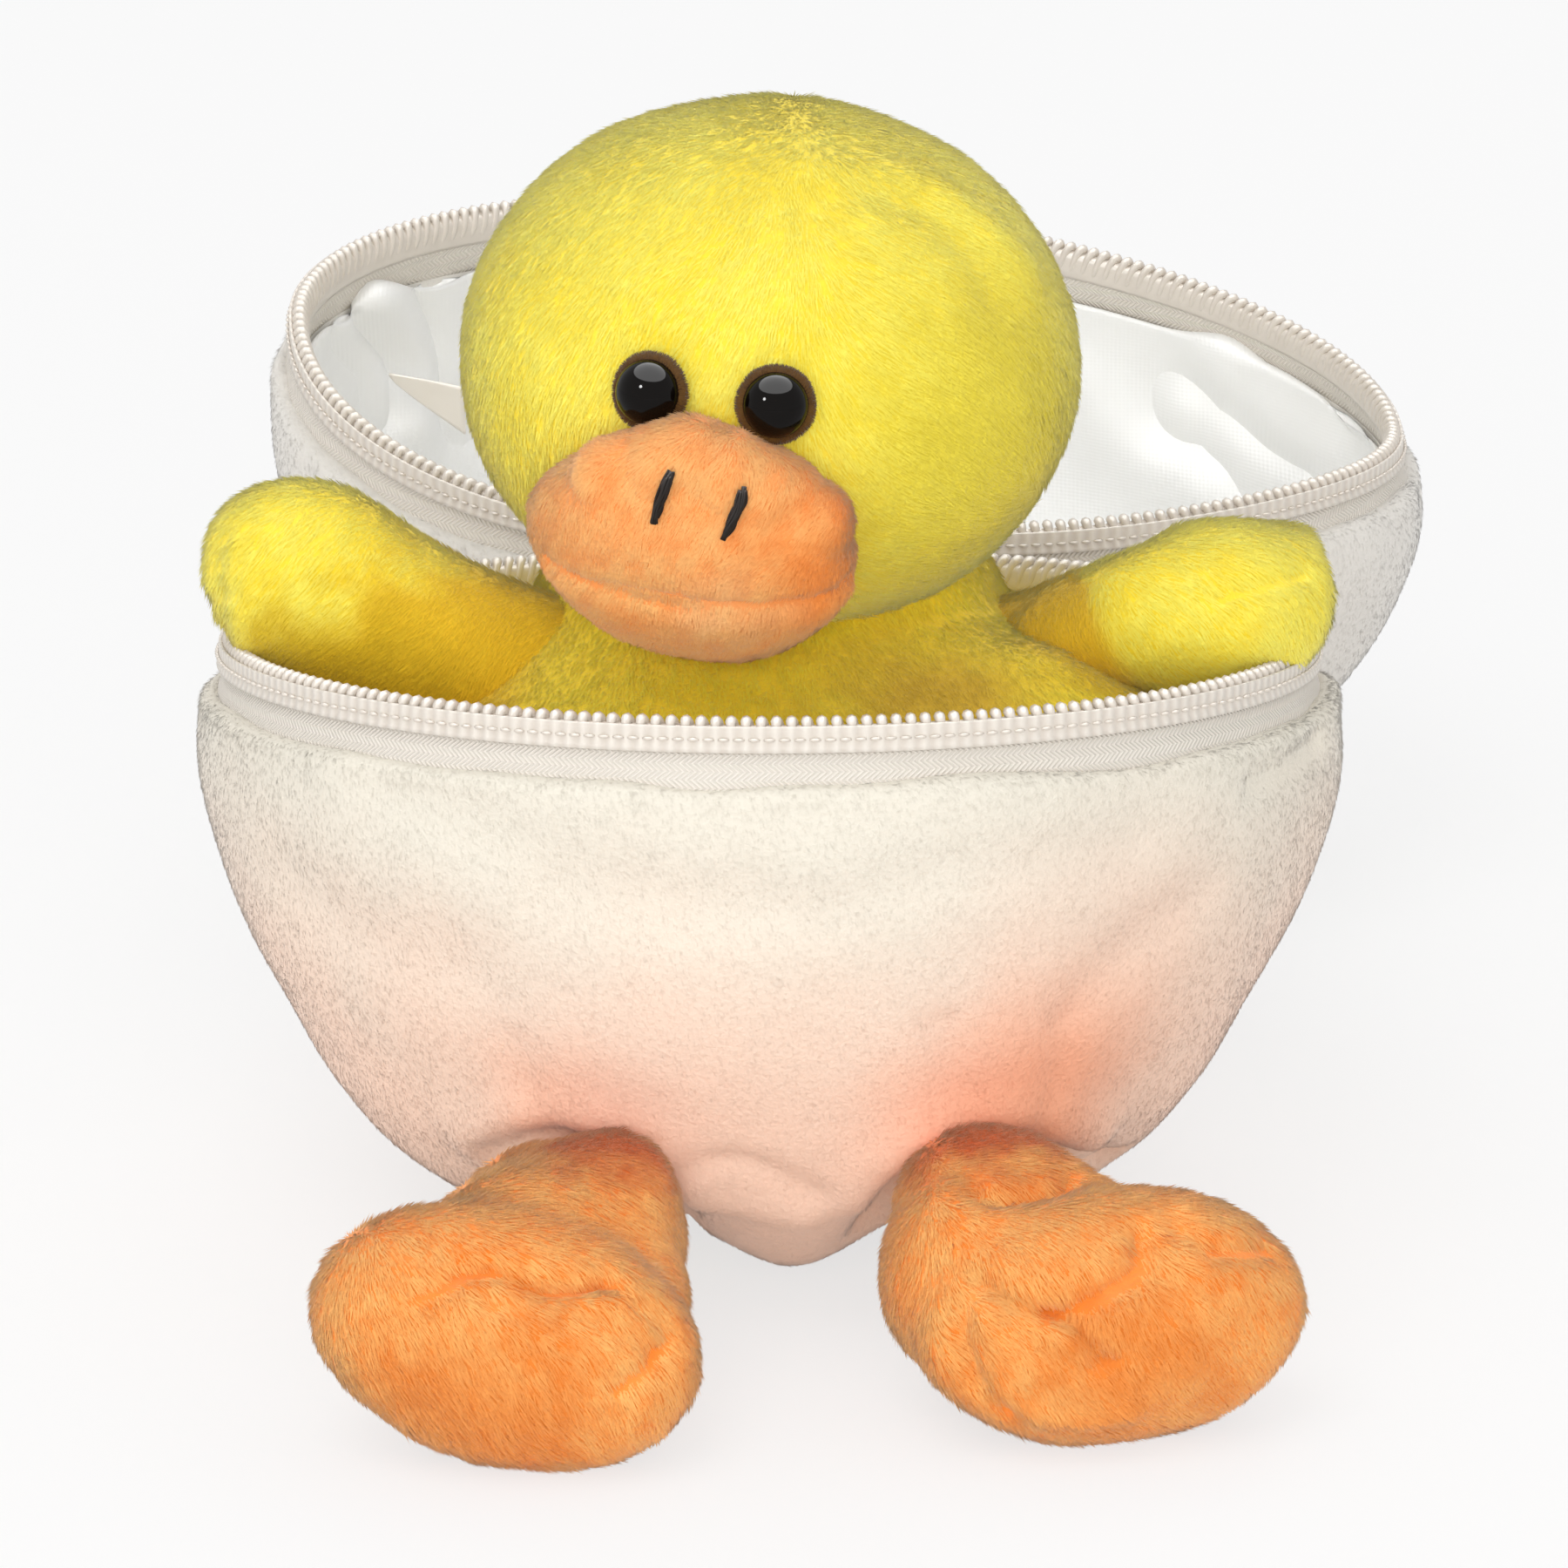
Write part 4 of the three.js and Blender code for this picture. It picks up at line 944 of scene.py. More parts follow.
class DUCK_OT_torso(bpy.types.Operator):
    """Make the stuffed body, which narrows to the neck above the egg's rim"""

    bl_idname = "duck.torso"
    bl_label = "Body"

    def execute(self, context):
        size = settings()
        torso = soft_form("torso_skin", ["duck_torso"], 1.5 * MM, 16, -0.2 * MM)
        points = points_of(torso)
        height = over_rim(points)
        steps = np.array([-3, 0, 3, 6]) * MM
        points[:, 0] *= np.interp(height, steps, [1, 0.93, 0.78, NECK_WIDTH])
        points[:, 1] *= np.interp(height, steps, [1, 1, 0.97, NECK_DEPTH])
        for middle, reach, rise in SHOULDERS:
            away = np.linalg.norm(points[:, :2] - np.array(middle) * MM, axis=1) / (reach * MM)
            points[:, 2] += rise * MM * np.exp(-(away**2)) * np.clip(height / (8 * MM) + 1.5, 0, 1)
        set_points(torso, points)
        material = plush("torso plush", linear((255, 236, 66)), linear((254, 220, 40)), TORSO_SHADE_SPOTS).material
        finish_piece(torso, "egg", material, ["duck_torso"])

        def shown(place, normal):
            return over_rim(place) > -4 * MM

        pile(torso, "torso_pile", "egg", material, 46_000, size.pile_length,
             size.pile_width, size.lean, steady(0.2, -0.6, -1), shown, seed=21, ruffle=0.12)
        return {"FINISHED"}


class DUCK_OT_wings(bpy.types.Operator):
    """Make the two stuffed wings"""

    bl_idname = "duck.wings"
    bl_label = "Wings"

    def execute(self, context):
        size = settings()
        # root, near and far place the gold at each wing's root, which is painted shade
        for side, sign, stations, creases, root, near, far in (
            ("left", -1, LEFT_WING, LEFT_WING_CREASES, (-30, -17, 52), 20, 29),
            ("right", 1, RIGHT_WING, RIGHT_WING_CREASES, (20, -12, 62), 17, 20),
        ):
            rows = smooth_path(np.array(stations) * MM, 64)
            turn = np.arange(48) / 48 * FULL_TURN
            ahead = unit(np.gradient(rows[:, :3] * [1, 1, 0], axis=0))
            across = np.cross(ahead, UPWARD)
            rise, wide = np.maximum(rows[:, 3:4], 0.3 * MM), np.maximum(rows[:, 4:5], 0.3 * MM)
            tuck = 1 - 0.08 * np.clip(-np.sin(turn), 0, 1)
            rings = (
                rows[:, None, :3]
                + across[:, None] * (wide * np.cos(turn) * tuck)[:, :, None]
                + UPWARD * (rise * np.sin(turn))[:, :, None]
            )
            wing = lofted(f"wing_{side}_skin", rings)
            smooth_skin(wing, 0.8 * MM, 8, -0.5 * MM)
            bumpy(wing, 7 * MM, 0.2 * MM, 31 + sign)
            press(wing, creases)
            # The wing's spots are painted shade: gold at the root and low on the wing, and along a crease
            spots = [(root, near, far, 1.0, WING_ROOT_SHADE), *WING_SHADE_SPOTS]
            material = plush(f"wing plush {side}", size.yellow, size.yellow_deep, spots).material
            finish_piece(wing, f"{side}_wing", material, [f"wing_{side}"])
            pile(wing, f"wing_{side}_pile", f"{side}_wing", material, 26_000,
                 size.pile_length, size.pile_width, size.lean, steady(sign * 0.8, -0.3, -0.8), seed=31 + sign,
                 ruffle=0.16)
        return {"FINISHED"}


class DUCK_OT_feet(bpy.types.Operator):
    """Make the legs and the foot pads, as one skin that is cut at the ankle's seam"""

    bl_idname = "duck.feet"
    bl_label = "Legs and feet"

    def execute(self, context):
        size = settings()
        for side, sign, knee, foot, calf, creases in (
            ("left", -1, (-16.8, -54.0, 18.6), (-25.9, -70.0, 12.4), LEFT_CALF, LEFT_FOOT_CREASES),
            ("right", 1, (22.0, -52.2, 18.6), (34.2, -64.2, 12.4), RIGHT_CALF, RIGHT_FOOT_CREASES),
        ):
            body, leg_node, foot_node = f"{side}_foot", f"leg_{side}", f"foot_{side}"
            whole = soft_form(f"{side}_limb", [leg_node, foot_node], 0.8 * MM, 44, 0.45 * MM, calf)
            bumpy(whole, 9 * MM, 0.15 * MM, 40 + sign)
            if side == "left":
                points = points_of(whole)
                beyond = np.maximum(points[:, 0] - FOOT_INNER_SIDE, 0)
                toe = np.interp(-points[:, 1], [TOE_FROM, TOE_TO], [0, TOE_LEAN])
                top = np.interp(points[:, 2], [TOP_FROM, TOP_TO], [0, TOP_LEAN])
                points[:, 0] -= beyond * np.maximum(toe, top)
                set_points(whole, points)
            press(whole, creases)
            points = points_of(whole)
            points[:, 2] = np.maximum(points[:, 2], 0.1 * MM)
            set_points(whole, points)
            # Painted red-orange shadow at the top of the leg, under the egg's edge, and a deeper orange at
            # the toe
            spots = [((knee[0], knee[1] + 1, knee[2] + 9), 3, 11.5, 0.9, LEG_TOP_SHADE),
                     ((foot[0] + 3 * sign, -78, 8), 4, 16, 0.6, TOE_ORANGE)]
            material = plush(f"foot plush {side}", size.orange, size.orange_deep, spots, 7 * MM).material
            pile(whole, f"foot_{side}_pile", body, material, 46_000, size.pile_length,
                 size.pile_width, size.lean, steady(0.7, -0.2, -1), seed=41 + sign, ruffle=0.2)
            knee, foot = Vector(knee) * MM, Vector(foot) * MM
            ankle, way = knee.lerp(foot, 0.35), (foot - knee).normalized()
            for name, node, out in (("leg", leg_node, way), ("foot", foot_node, -way)):
                made = cut_skin(whole, f"{name}_{side}_skin", ankle, out)
                finish_piece(made, body, material, [node])
            bpy.data.objects.remove(whole)
        return {"FINISHED"}


class DUCK_OT_bill(bpy.types.Operator):
    """Make the bill with its mouth seam and stitched nostrils"""

    bl_idname = "duck.bill"
    bl_label = "Bill"

    def execute(self, context):
        size = settings()
        material = plush("bill plush", size.bill, size.bill_deep, BILL_SHADE_AND_LIGHT_SPOTS, 6 * MM).material
        whole = soft_form("whole_bill", ["bill_upper", "bill_lower"], 0.6 * MM, 12, -0.1 * MM, BILL_BALLS)
        bumpy(whole, 6 * MM, 0.15 * MM, 55)
        press(whole, BILL_CREASES)
        outer = lambda place, normal: normal[:, 1] < 0.5
        pile(whole, "bill_pile", "head", material, 38_000, 1.5 * MM, size.pile_width,
             size.lean, steady(-0.4, 0, -1), outer, seed=51)
        place, down = mouth_seam()
        for part, out in (("upper", down), ("lower", -down)):
            made = cut_skin(whole, f"bill_{part}_skin", Vector(place), Vector(out))
            finish_piece(made, "head", material, [f"bill_{part}"])
        for side, stroke in (("left", LEFT_NOSTRIL), ("right", RIGHT_NOSTRIL)):
            finish_piece(satin_stroke(f"nostril_{side}_stitch", whole, stroke), "head",
                         sewing_thread().material, [f"nostril_{side}"])
        bpy.data.objects.remove(whole)
        return {"FINISHED"}


def mouth_seam():
    """A point and the lower side's direction of the plane where the two halves of the bill meet."""
    upper, lower = (points_of(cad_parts[f"bill_{part}"]) for part in ("upper", "lower"))
    apart = np.linalg.norm(upper[:, None] - lower[None], axis=2).min(1)
    seam = upper[apart < 0.8 * MM]
    _, _, ways = np.linalg.svd(seam - seam.mean(0), full_matrices=False)
    return seam.mean(0), ways[2] * (-1 if ways[2][2] > 0 else 1)


def satin_stroke(name, base, pixels):
    """A stroke of black sewing thread that lies on the plush: a bundle of threads with loose ends."""
    random = np.random.default_rng(len(name) + 3)
    middle = smooth_path(seen_on(base, pixels), 24)
    ahead = unit(np.gradient(middle, axis=0))
    out = unit(np.cross(ahead, [1.0, 0.1, 0]))
    out *= np.sign(-out[:, 1:2])
    side = np.cross(ahead, out)
    share = np.linspace(0, 1, 24)[:, None]
    swell = np.sin(np.pi * (0.08 + 0.84 * share)) ** 0.7
    parts = []
    for thread in range(11):
        across = (thread / 10 - 0.5) * 0.8 * MM * swell
        start, end = random.uniform(-0.08, 0.14), random.uniform(0.86, 1.08)
        wander = smooth_path(random.normal(size=(5, 1)) * 0.1 * MM, 24)
        lift = (0.75 + 0.5 * np.sqrt(np.maximum(0, 1 - (thread / 5 - 1) ** 2))) * MM
        path = middle + side * (across + wander) + out * (lift * swell ** 0.5 + 0.1 * MM)
        reach = np.linspace(start, end, 24)
        path = np.column_stack([np.interp(reach, share[:, 0], path[:, k]) for k in range(3)])
        parts.append(tube(path, 0.15 * MM, 6))
    return welded(name, parts)


def sewing_thread():
    board = Board("black thread", Roughness=0.55, Specular_IOR_Level=0.3)
    return board.colour(board.mixed(board.noise(0.8 * MM), linear((12, 9, 7)), linear((34, 24, 18))))


class DUCK_OT_eyes(bpy.types.Operator):
    """Make the safety eyes and their fuzzy brown rings"""

    bl_idname = "duck.eyes"
    bl_label = "Eyes"

    def execute(self, context):
        black = Board("eye black", Roughness=0.05, Specular_IOR_Level=0.12)
        black.colour(black.mixed(black.noise(4 * MM), linear((7, 5, 4)), linear((12, 8, 6))))
        felt = plush("eye felt", linear((104, 72, 30)), linear((66, 40, 15)), (), 2 * MM)
        plastic = Board("washer plastic", Roughness=0.45)
        moulded = plastic.mixed(plastic.noise(3 * MM), linear((232, 232, 230)), linear((238, 238, 236)))
        plastic.colour(moulded)
        for side in ("left", "right"):
            middle, out = disc_frame(f"eye_{side}_backing")
            rise = np.linspace(0, math.pi / 2, 20)
            dome = [(1.1 * MM, -SHANK_LENGTH), (1.2 * MM, 0.3 * MM), (BEAD_RADIUS, 0.45 * MM)]
            dome += [(BEAD_RADIUS * math.cos(a), 1.0 * MM + BEAD_DOME * math.sin(a)) for a in rise[:-1]]
            bead = lathed(f"eye_{side}_bead", middle, out, dome, 72)
            finish_piece(bead, "head", black.material, [f"eye_{side}"])
            turns = np.linspace(0, FULL_TURN, 17)[:-1]
            section = [
                (RING_RADIUS + RING_WIDTH * math.cos(a), 0.25 * MM + RING_HEIGHT * math.sin(a)) for a in turns
            ]
            ring = lathed(f"eye_{side}_ring", middle, out, section, 72, closed=True)
            finish_piece(ring, "head", felt.material, [f"eye_{side}_backing"])

            def outward(place, normal):
                away = place - middle
                return away - np.outer(away @ out, out)

            def front(place, normal):
                return (normal @ out > -0.3) & (np.linalg.norm(outward(place, normal), axis=1) > 3.1 * MM)

            pile(ring, f"eye_{side}_fuzz", "head", felt.material, 2600, 0.6 * MM,
                 0.16 * MM, 0.6, outward, front, seed=71)
            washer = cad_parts[f"eye_{side}_washer"]
            washer.data.materials.clear()
            washer.data.materials.append(plastic.material)
        return {"FINISHED"}


def disc_frame(node):
    """The middle of a flat round solid and the way it faces, towards the front."""
    points = points_of(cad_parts[node])
    middle = points.mean(0)
    _, _, ways = np.linalg.svd(points - middle, full_matrices=False)
    return middle, ways[2] * (-1 if ways[2][1] > 0 else 1)


def lathed(name, middle, out, profile, around, closed=False):
    """A turned piece: its profile gives radii and heights along the axis."""
    side = unit(np.cross(out, UPWARD))
    up = np.cross(side, out)
    turn = np.arange(around) / around * FULL_TURN
    rim = np.outer(np.cos(turn), side) + np.outer(np.sin(turn), up)
    rings = np.array([middle + rim * radius + out * height for radius, height in profile])
    if not closed:
        return lofted(name, rings)
    points = rings.reshape(-1, 3)
    count = len(profile)
    faces = ring_faces(count, around)
    last = np.arange(around)
    seam = np.stack([(count - 1) * around + last, (count - 1) * around + (last + 1) % around,
                     (last + 1) % around, last], -1)
    made = build_mesh(name, points, np.concatenate([faces, seam]))
    turn_out(made)
    return made


class DUCK_OT_shell(bpy.types.Operator):
    """Make the plush shells of both halves of the egg"""

    bl_idname = "duck.shell"
    bl_label = "Egg plush"

    def execute(self, context):
        size = settings()
        for half, node, body, slot, colour, blush, folds, count in (
            (lower_half, "lower_shell", "egg", "cream_plush", size.cream, size.blush, SHELL_CREASES, 130_000),
            (lid_half, "lid_shell", "lid", "white_plush", size.white, size.white, (), 70_000),
        ):
            shell = egg_wall(f"{node}_plush", half, TAPE_HEIGHT + SEAM_GAP, 0.0, PLUSH_WALL, 300)
            outer = outside_of(half)
            points, normals = points_of(shell), normals_of(shell)
            down = half.rim_height - points[:, 2] + half.rise(points[:, 0], points[:, 1] - half.middle[1])
            pucker = np.exp(-np.maximum(down - 5 * MM, 0) / (4 * MM))
            lift = 0.3 * MM * ripple(points, 16 * MM, 5) + 0.3 * MM * pucker * ripple(points, 8 * MM, 6)
            lift += 0.45 * MM * pucker
            on_table = np.clip(points[:, 2] / (6 * MM), 0, 1)
            lift *= outer(points, normals) * on_table
            lift -= (lift + PULL_DENT) * near_pull(points)
            points += normals * lift[:, None]
            if body == "egg":
                narrow_below(points)
            set_points(shell, points)
            press(shell, folds)
            material = egg_plush(node, tuple(colour), tuple(blush), body == "egg").material
            finish_piece(shell, body, material, [node])

            def shown(place, normal):
                return outer(place, normal) & (near_pull(place) < 0.1)

            pile(shell, f"{node}_pile", body, material, count, size.egg_pile_length,
                 0.15 * MM, 0.12, steady(0.25, -0.2, -1), shown, seed=61 + len(body), ruffle=0.07)
        return {"FINISHED"}


def near_pull(points):
    """1 where the slider's pull swings against the plush of both halves, falling to 0 around it."""
    middle = np.array(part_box("zip_pull")).mean(0)
    return np.clip(1.6 - np.linalg.norm((points - middle) * [1, 0.8, 1], axis=1) / PULL_ROOM, 0, 1)


def narrow_below(points):
    """Raises the egg's lower front beside its soft point."""
    away = np.abs(points[:, 0] - NUB_X)
    beside = np.clip(away / NUB_REACH, 0, 1) * np.clip((29 * MM - away) / (8 * MM), 0, 1)
    front = np.clip((-points[:, 1] - 4 * MM) / (9 * MM), 0, 1)
    low = np.clip(1 - points[:, 2] / (22 * MM), 0, 1)
    points[:, 2] += NUB_RISE * beside**2 * (3 - 2 * beside) * front * low


def outside_of(half):
    """A test of which places on a half's wall face outwards."""
    middle = np.array([*half.middle, half.rim_height * 0.6])

    def outer(place, normal):
        return np.einsum("ij,ij->i", place - middle, normal) > 0

    return outer


def egg_plush(name, light, blush, tinted):
    """The egg's velvety pile, pinker towards the table, with a painted glow of orange light round the legs.
    """
    board = Board(f"{name} plush", Roughness=0.95, Sheen_Weight=0.25, Sheen_Roughness=0.4,
                  Specular_IOR_Level=0.1)
    place = board.place()
    height = board.axes(place)[2]
    drift = board.noise(20 * MM, 2.0) - 0.5
    shade = light
    # The lower egg turns pinker towards the table, and the painted glow from the orange legs is mixed in
    # round them
    if tinted:
        low = board.ranged(height + drift * 0.02, 62 * MM, 18 * MM)
        shade = board.mixed(low, light, blush)
        # Painted glow of light thrown off the orange legs onto the egg
        for middle, near, far, strength in LEG_GLOW_SPOTS:
            within = board.near_point(place, middle, near, far, drift * (6 * MM)) * strength
            shade = board.mixed(within, shade, LEG_GLOW_COLOUR)
    tuft = board.attribute("tuft") * 0.16
    dimmed = board.mixed(1.0, shade, (0.86, 0.83, 0.8, 1.0), "MULTIPLY")
    board.colour(board.mixed(tuft.clamped(), shade, dimmed))
    board.normal(board.bump(board.noise(0.6 * MM, 2.0), 0.15 * MM))
    return board


def egg_wall(name, half, start, inset, wall, around):
    """A bowl with an outside, an inside and a rounded upper edge."""
    angles = np.arange(around) / around * FULL_TURN
    rows = 96
    depths = start + (half.rim_height - start) * (np.arange(rows) / (rows - 1)) ** 0.9
    angle, depth = np.meshgrid(angles, depths)
    outside = half.wall(angle, depth, inset)
    inside = half.wall(angle, depth, inset + wall)
    lip = [
        half.wall(angles, start - wall / 2 * math.sin(turn) * 0.8, inset + wall / 2 * (1 - math.cos(turn)))
        for turn in np.linspace(0, math.pi, 7)[1:-1]
    ]
    return lofted(name, np.concatenate([outside[::-1], np.array(lip), inside]))


class DUCK_OT_lining(bpy.types.Operator):
    """Make the woven linings of both halves, with the folds of the lid's"""

    bl_idname = "duck.lining"
    bl_label = "Linings"

    def execute(self, context):
        for half, node, body in ((lower_half, "lower_lining", "egg"), (lid_half, "lid_lining", "lid")):
            lining = egg_wall(f"{node}_cloth", half, 4.2 * MM, PLUSH_WALL + SEAM_GAP, LINING_WALL, 260)
            if body == "lid":
                press(lining, LINING_FOLDS)
            else:
                points = points_of(lining)
                narrow_below(points)
                set_points(lining, points)
            finish_piece(lining, body, lining_cloth(node).material, [node])
        return {"FINISHED"}


class DUCK_OT_label(bpy.types.Operator):
    """Make the blank flap that is sewn into the lid's lining"""

    bl_idname = "duck.label"
    bl_label = "Label"

    def execute(self, context):
        board = Board("label satin", Roughness=0.45, Sheen_Weight=0.1)
        board.colour(board.mixed(board.noise(5 * MM), linear((240, 232, 220)), linear((246, 240, 230))))
        low, high = (Vector(corner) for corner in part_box("care_label"))
        across, up = np.meshgrid(np.linspace(0, 1, 14), np.linspace(0, 1, 12))
        middle = np.array((low + high) / 2) + np.array([3.8, 0, 0]) * MM
        points = middle + np.stack([
            (across * 9 - 4.5) * MM,
            -(1.4 * across**2 + 0.6 * up) * MM,
            (1.8 - 1.2 * across - (1 - up) * (0.4 + 5.6 * across**0.8)) * MM,
        ], -1)
        made = build_mesh("label_flap", points.reshape(-1, 3), ring_faces(12, 14, closed=False))
        thick = made.modifiers.new("Cloth wall", "SOLIDIFY")
        thick.thickness = 0.3 * MM
        apply_modifiers(made)
        finish_piece(made, "lid", board.material, ["care_label"])
        return {"FINISHED"}


def lining_cloth(name):
    """Smooth tricot: fine ribs under a soft satin shine."""
    board = Board(f"{name} tricot", Roughness=0.5, Sheen_Weight=0.2, Sheen_Roughness=0.3,
                  Specular_IOR_Level=0.3)
    x, _, z = board.axes(board.place())
    ribs = (x * (FULL_TURN / (0.5 * MM))).sine()
    weft = (z * (FULL_TURN / (0.4 * MM))).sine()
    board.colour(board.mixed(board.noise(8 * MM), linear((237, 237, 235)), linear((244, 244, 242))))
    board.normal(board.bump(ribs * 0.5 + weft * 0.3, 0.02 * MM))
    return board


class DUCK_OT_zip(bpy.types.Operator):
    """Make the zip's tapes, cords and coils"""

    bl_idname = "duck.zip"
    bl_label = "Zip"

    def execute(self, context):
        for half, ends, body, name in (
            (lower_half, LOWER_ZIP, "egg", "lower"),
            (lid_half, LID_ZIP, "lid", "lid"),
        ):
            tape_inset, cord_inset = TAPE_INSET - 0.2 * MM, TAPE_INSET - 0.1 * MM
            tape = rim_band(f"{name}_tape", half, ends, TAPE_HEIGHT, 0.75 * MM, tape_inset, TAPE_WALL)
            if body == "lid":
                points = points_of(tape)
                set_points(tape, points + np.outer(near_pull(points), [0, PULL_DENT, 0]))
            finish_piece(tape, body, zip_weave(name, half).material, [f"{name}_zip_tape"])
            slider, stop = SLIDER_ROOM / half.half_width, STOP_ROOM / half.half_width
            margins = (slider, stop) if body == "egg" else (stop, slider)
            inner = (ends[0] + margins[0], ends[1] - margins[1])
            coil = zip_coil(f"{name}_coil", half, *inner)
            finish_piece(coil, body, nylon(name).material, [f"{name}_zip_chain"])
            seam = zip_stitches(f"{name}_stitches", half, *inner)
            finish_piece(seam, body, nylon(f"{name} stitching").material)
            cord = rim_band(f"{name}_cord", half, inner, 1.0 * MM, -1.4 * MM, cord_inset, TAPE_WALL)
            finish_piece(cord, body, nylon(f"{name} cord").material)
            cover = rim_band(f"{name}_cover", half, inner, 0.9 * MM, -1.5 * MM, COVER_INSET, COVER_WALL)
            finish_piece(cover, body, coil_cover(name).material)
        return {"FINISHED"}


class DUCK_OT_hinge(bpy.types.Operator):
    """Make the strip of cloth that joins the lid to the lower half behind the duck"""

    bl_idname = "duck.hinge"
    bl_label = "Hinge strip"

    def execute(self, context):
        lower, lid = (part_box(f"hinge_gusset_{half}") for half in ("lower", "lid"))
        near, far = lower[0][1] - 0.6 * MM, lid[1][1] + 0.6 * MM
        top = lower[1][2]
        share, along = np.meshgrid(np.linspace(0, 1, 21), np.linspace(0, 1, 61))
        sag = (0.55 * np.sin(share * math.pi) + 0.12 * np.sin(along * 55) * np.sin(share * math.pi)) * MM
        points = np.stack([
            lower[0][0] + along * (lower[1][0] - lower[0][0]),
            near + share * (far - near),
            top - SEAM_GAP - sag,
        ], -1)
        strip = build_mesh("hinge_strip", points.reshape(-1, 3), ring_faces(61, 21, closed=False))
        thick = strip.modifiers.new("Cloth wall", "SOLIDIFY")
        thick.thickness = 0.7 * MM
        thick.offset = 0
        apply_modifiers(strip)
        strip.data.materials.append(zip_weave("hinge", lower_half).material)
        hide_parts("hinge_gusset_lower", "hinge_gusset_lid")
        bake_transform(strip)
        return {"FINISHED"}


class DUCK_OT_slider(bpy.types.Operator):
    """Give the slider, its pull and the stops rounded edges and their finish"""

    bl_idname = "duck.slider"
    bl_label = "Slider and stops"

    def execute(self, context):
        enamel = Board("slider enamel", Roughness=0.3, Specular_IOR_Level=0.5)
        wear = enamel.ranged(enamel.noise(0.9 * MM, 4.0), 0.62, 0.72)
        enamel.colour(enamel.mixed(wear, linear((226, 224, 218)), linear((186, 182, 174))))
        enamel.roughness(0.26 + enamel.noise(1.5 * MM) * 0.2)
        enamel.normal(enamel.bump(enamel.noise(0.7 * MM), 0.04 * MM))
        plastic = Board("stop plastic", Roughness=0.4, Specular_IOR_Level=0.45)
        moulded = plastic.mixed(plastic.noise(1.2 * MM), linear((220, 218, 214)), linear((232, 230, 226)))
        plastic.colour(moulded)
        plastic.normal(plastic.bump(plastic.noise(0.8 * MM), 0.04 * MM))
        for node, board, edge in (
            ("zip_slider", enamel, 0.35), ("zip_pull", enamel, 0.3),
            ("lower_zip_stop", plastic, 0.3), ("lid_zip_stop", plastic, 0.3),
        ):
            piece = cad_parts[node]
            piece.data.materials.clear()
            piece.data.materials.append(board.material)
            bevel = piece.modifiers.new("Rounded edges", "BEVEL")
            bevel.width = edge * MM
            bevel.segments = 3
            bevel.angle_limit = math.radians(40)
        return {"FINISHED"}


def rim_band(name, half, ends, low, high, inset, wall):
    """A band that stands along the rim, between two depths, with its upper edge rounded."""
    angles = np.linspace(*ends, 360)
    depths = np.linspace(low, high, 7)
    front = [half.wall(angles, depth, inset) for depth in depths]
    lip = [
        half.wall(angles, high - wall / 2 * math.sin(turn), inset + wall / 2 * (1 - math.cos(turn)))
        for turn in np.linspace(0, math.pi, 6)[1:-1]
    ]
    back = [half.wall(angles, depth, inset + wall) for depth in depths[::-1]]
    made = lofted(name, np.array(front + lip + back).transpose(1, 0, 2))
    steps = np.linalg.norm(np.diff(front[0], axis=0), axis=1)
    along = np.repeat(np.concatenate([[0], np.cumsum(steps)]), len(front + lip + back))
    store(made, "along", "FLOAT", np.concatenate([along, along[:1], along[-1:]]))
    return made


def zip_weave(name, half):
    """Herringbone tape: rows of slanting ribs that change side."""
    board = Board(f"{name} zip tape", Roughness=0.7, Sheen_Weight=0.15, Specular_IOR_Level=0.25)
    _, y, z = board.axes(board.place())
    level = z + y * (math.sin(EGG_LEAN) if half is lower_half else -math.sin(LID_PITCH))
    rows = level.bounce(0.85 * MM)
    twill = ((board.attribute("along") + rows * 1.2) * (FULL_TURN / (0.62 * MM))).sine()
    board.colour(board.mixed(twill * 0.5 + 0.5, linear((213, 206, 195)), linear((229, 222, 212))))
    board.normal(board.bump(twill, 0.045 * MM))
    return board


def coil_cover(name):
    """The tape's smooth edge, drawn over the coil so that its teeth show through as ribs."""
    board = Board(f"{name} coil cover", Roughness=0.5, Sheen_Weight=0.1, Specular_IOR_Level=0.35)
    ribs = (board.attribute("along") * (FULL_TURN / TOOTH_PITCH)).sine() * 0.5 + 0.5
    board.colour(board.mixed(ribs, linear((210, 201, 190)), linear((223, 216, 206))))
    board.normal(board.bump(ribs + board.noise(0.4 * MM) * 0.3, 0.12 * MM))
    return board


def nylon(name):
    board = Board(f"{name} coil nylon", Roughness=0.32, Specular_IOR_Level=0.45)
    board.colour(board.mixed(board.noise(3 * MM), linear((208, 199, 188)), linear((221, 213, 203))))
    return board


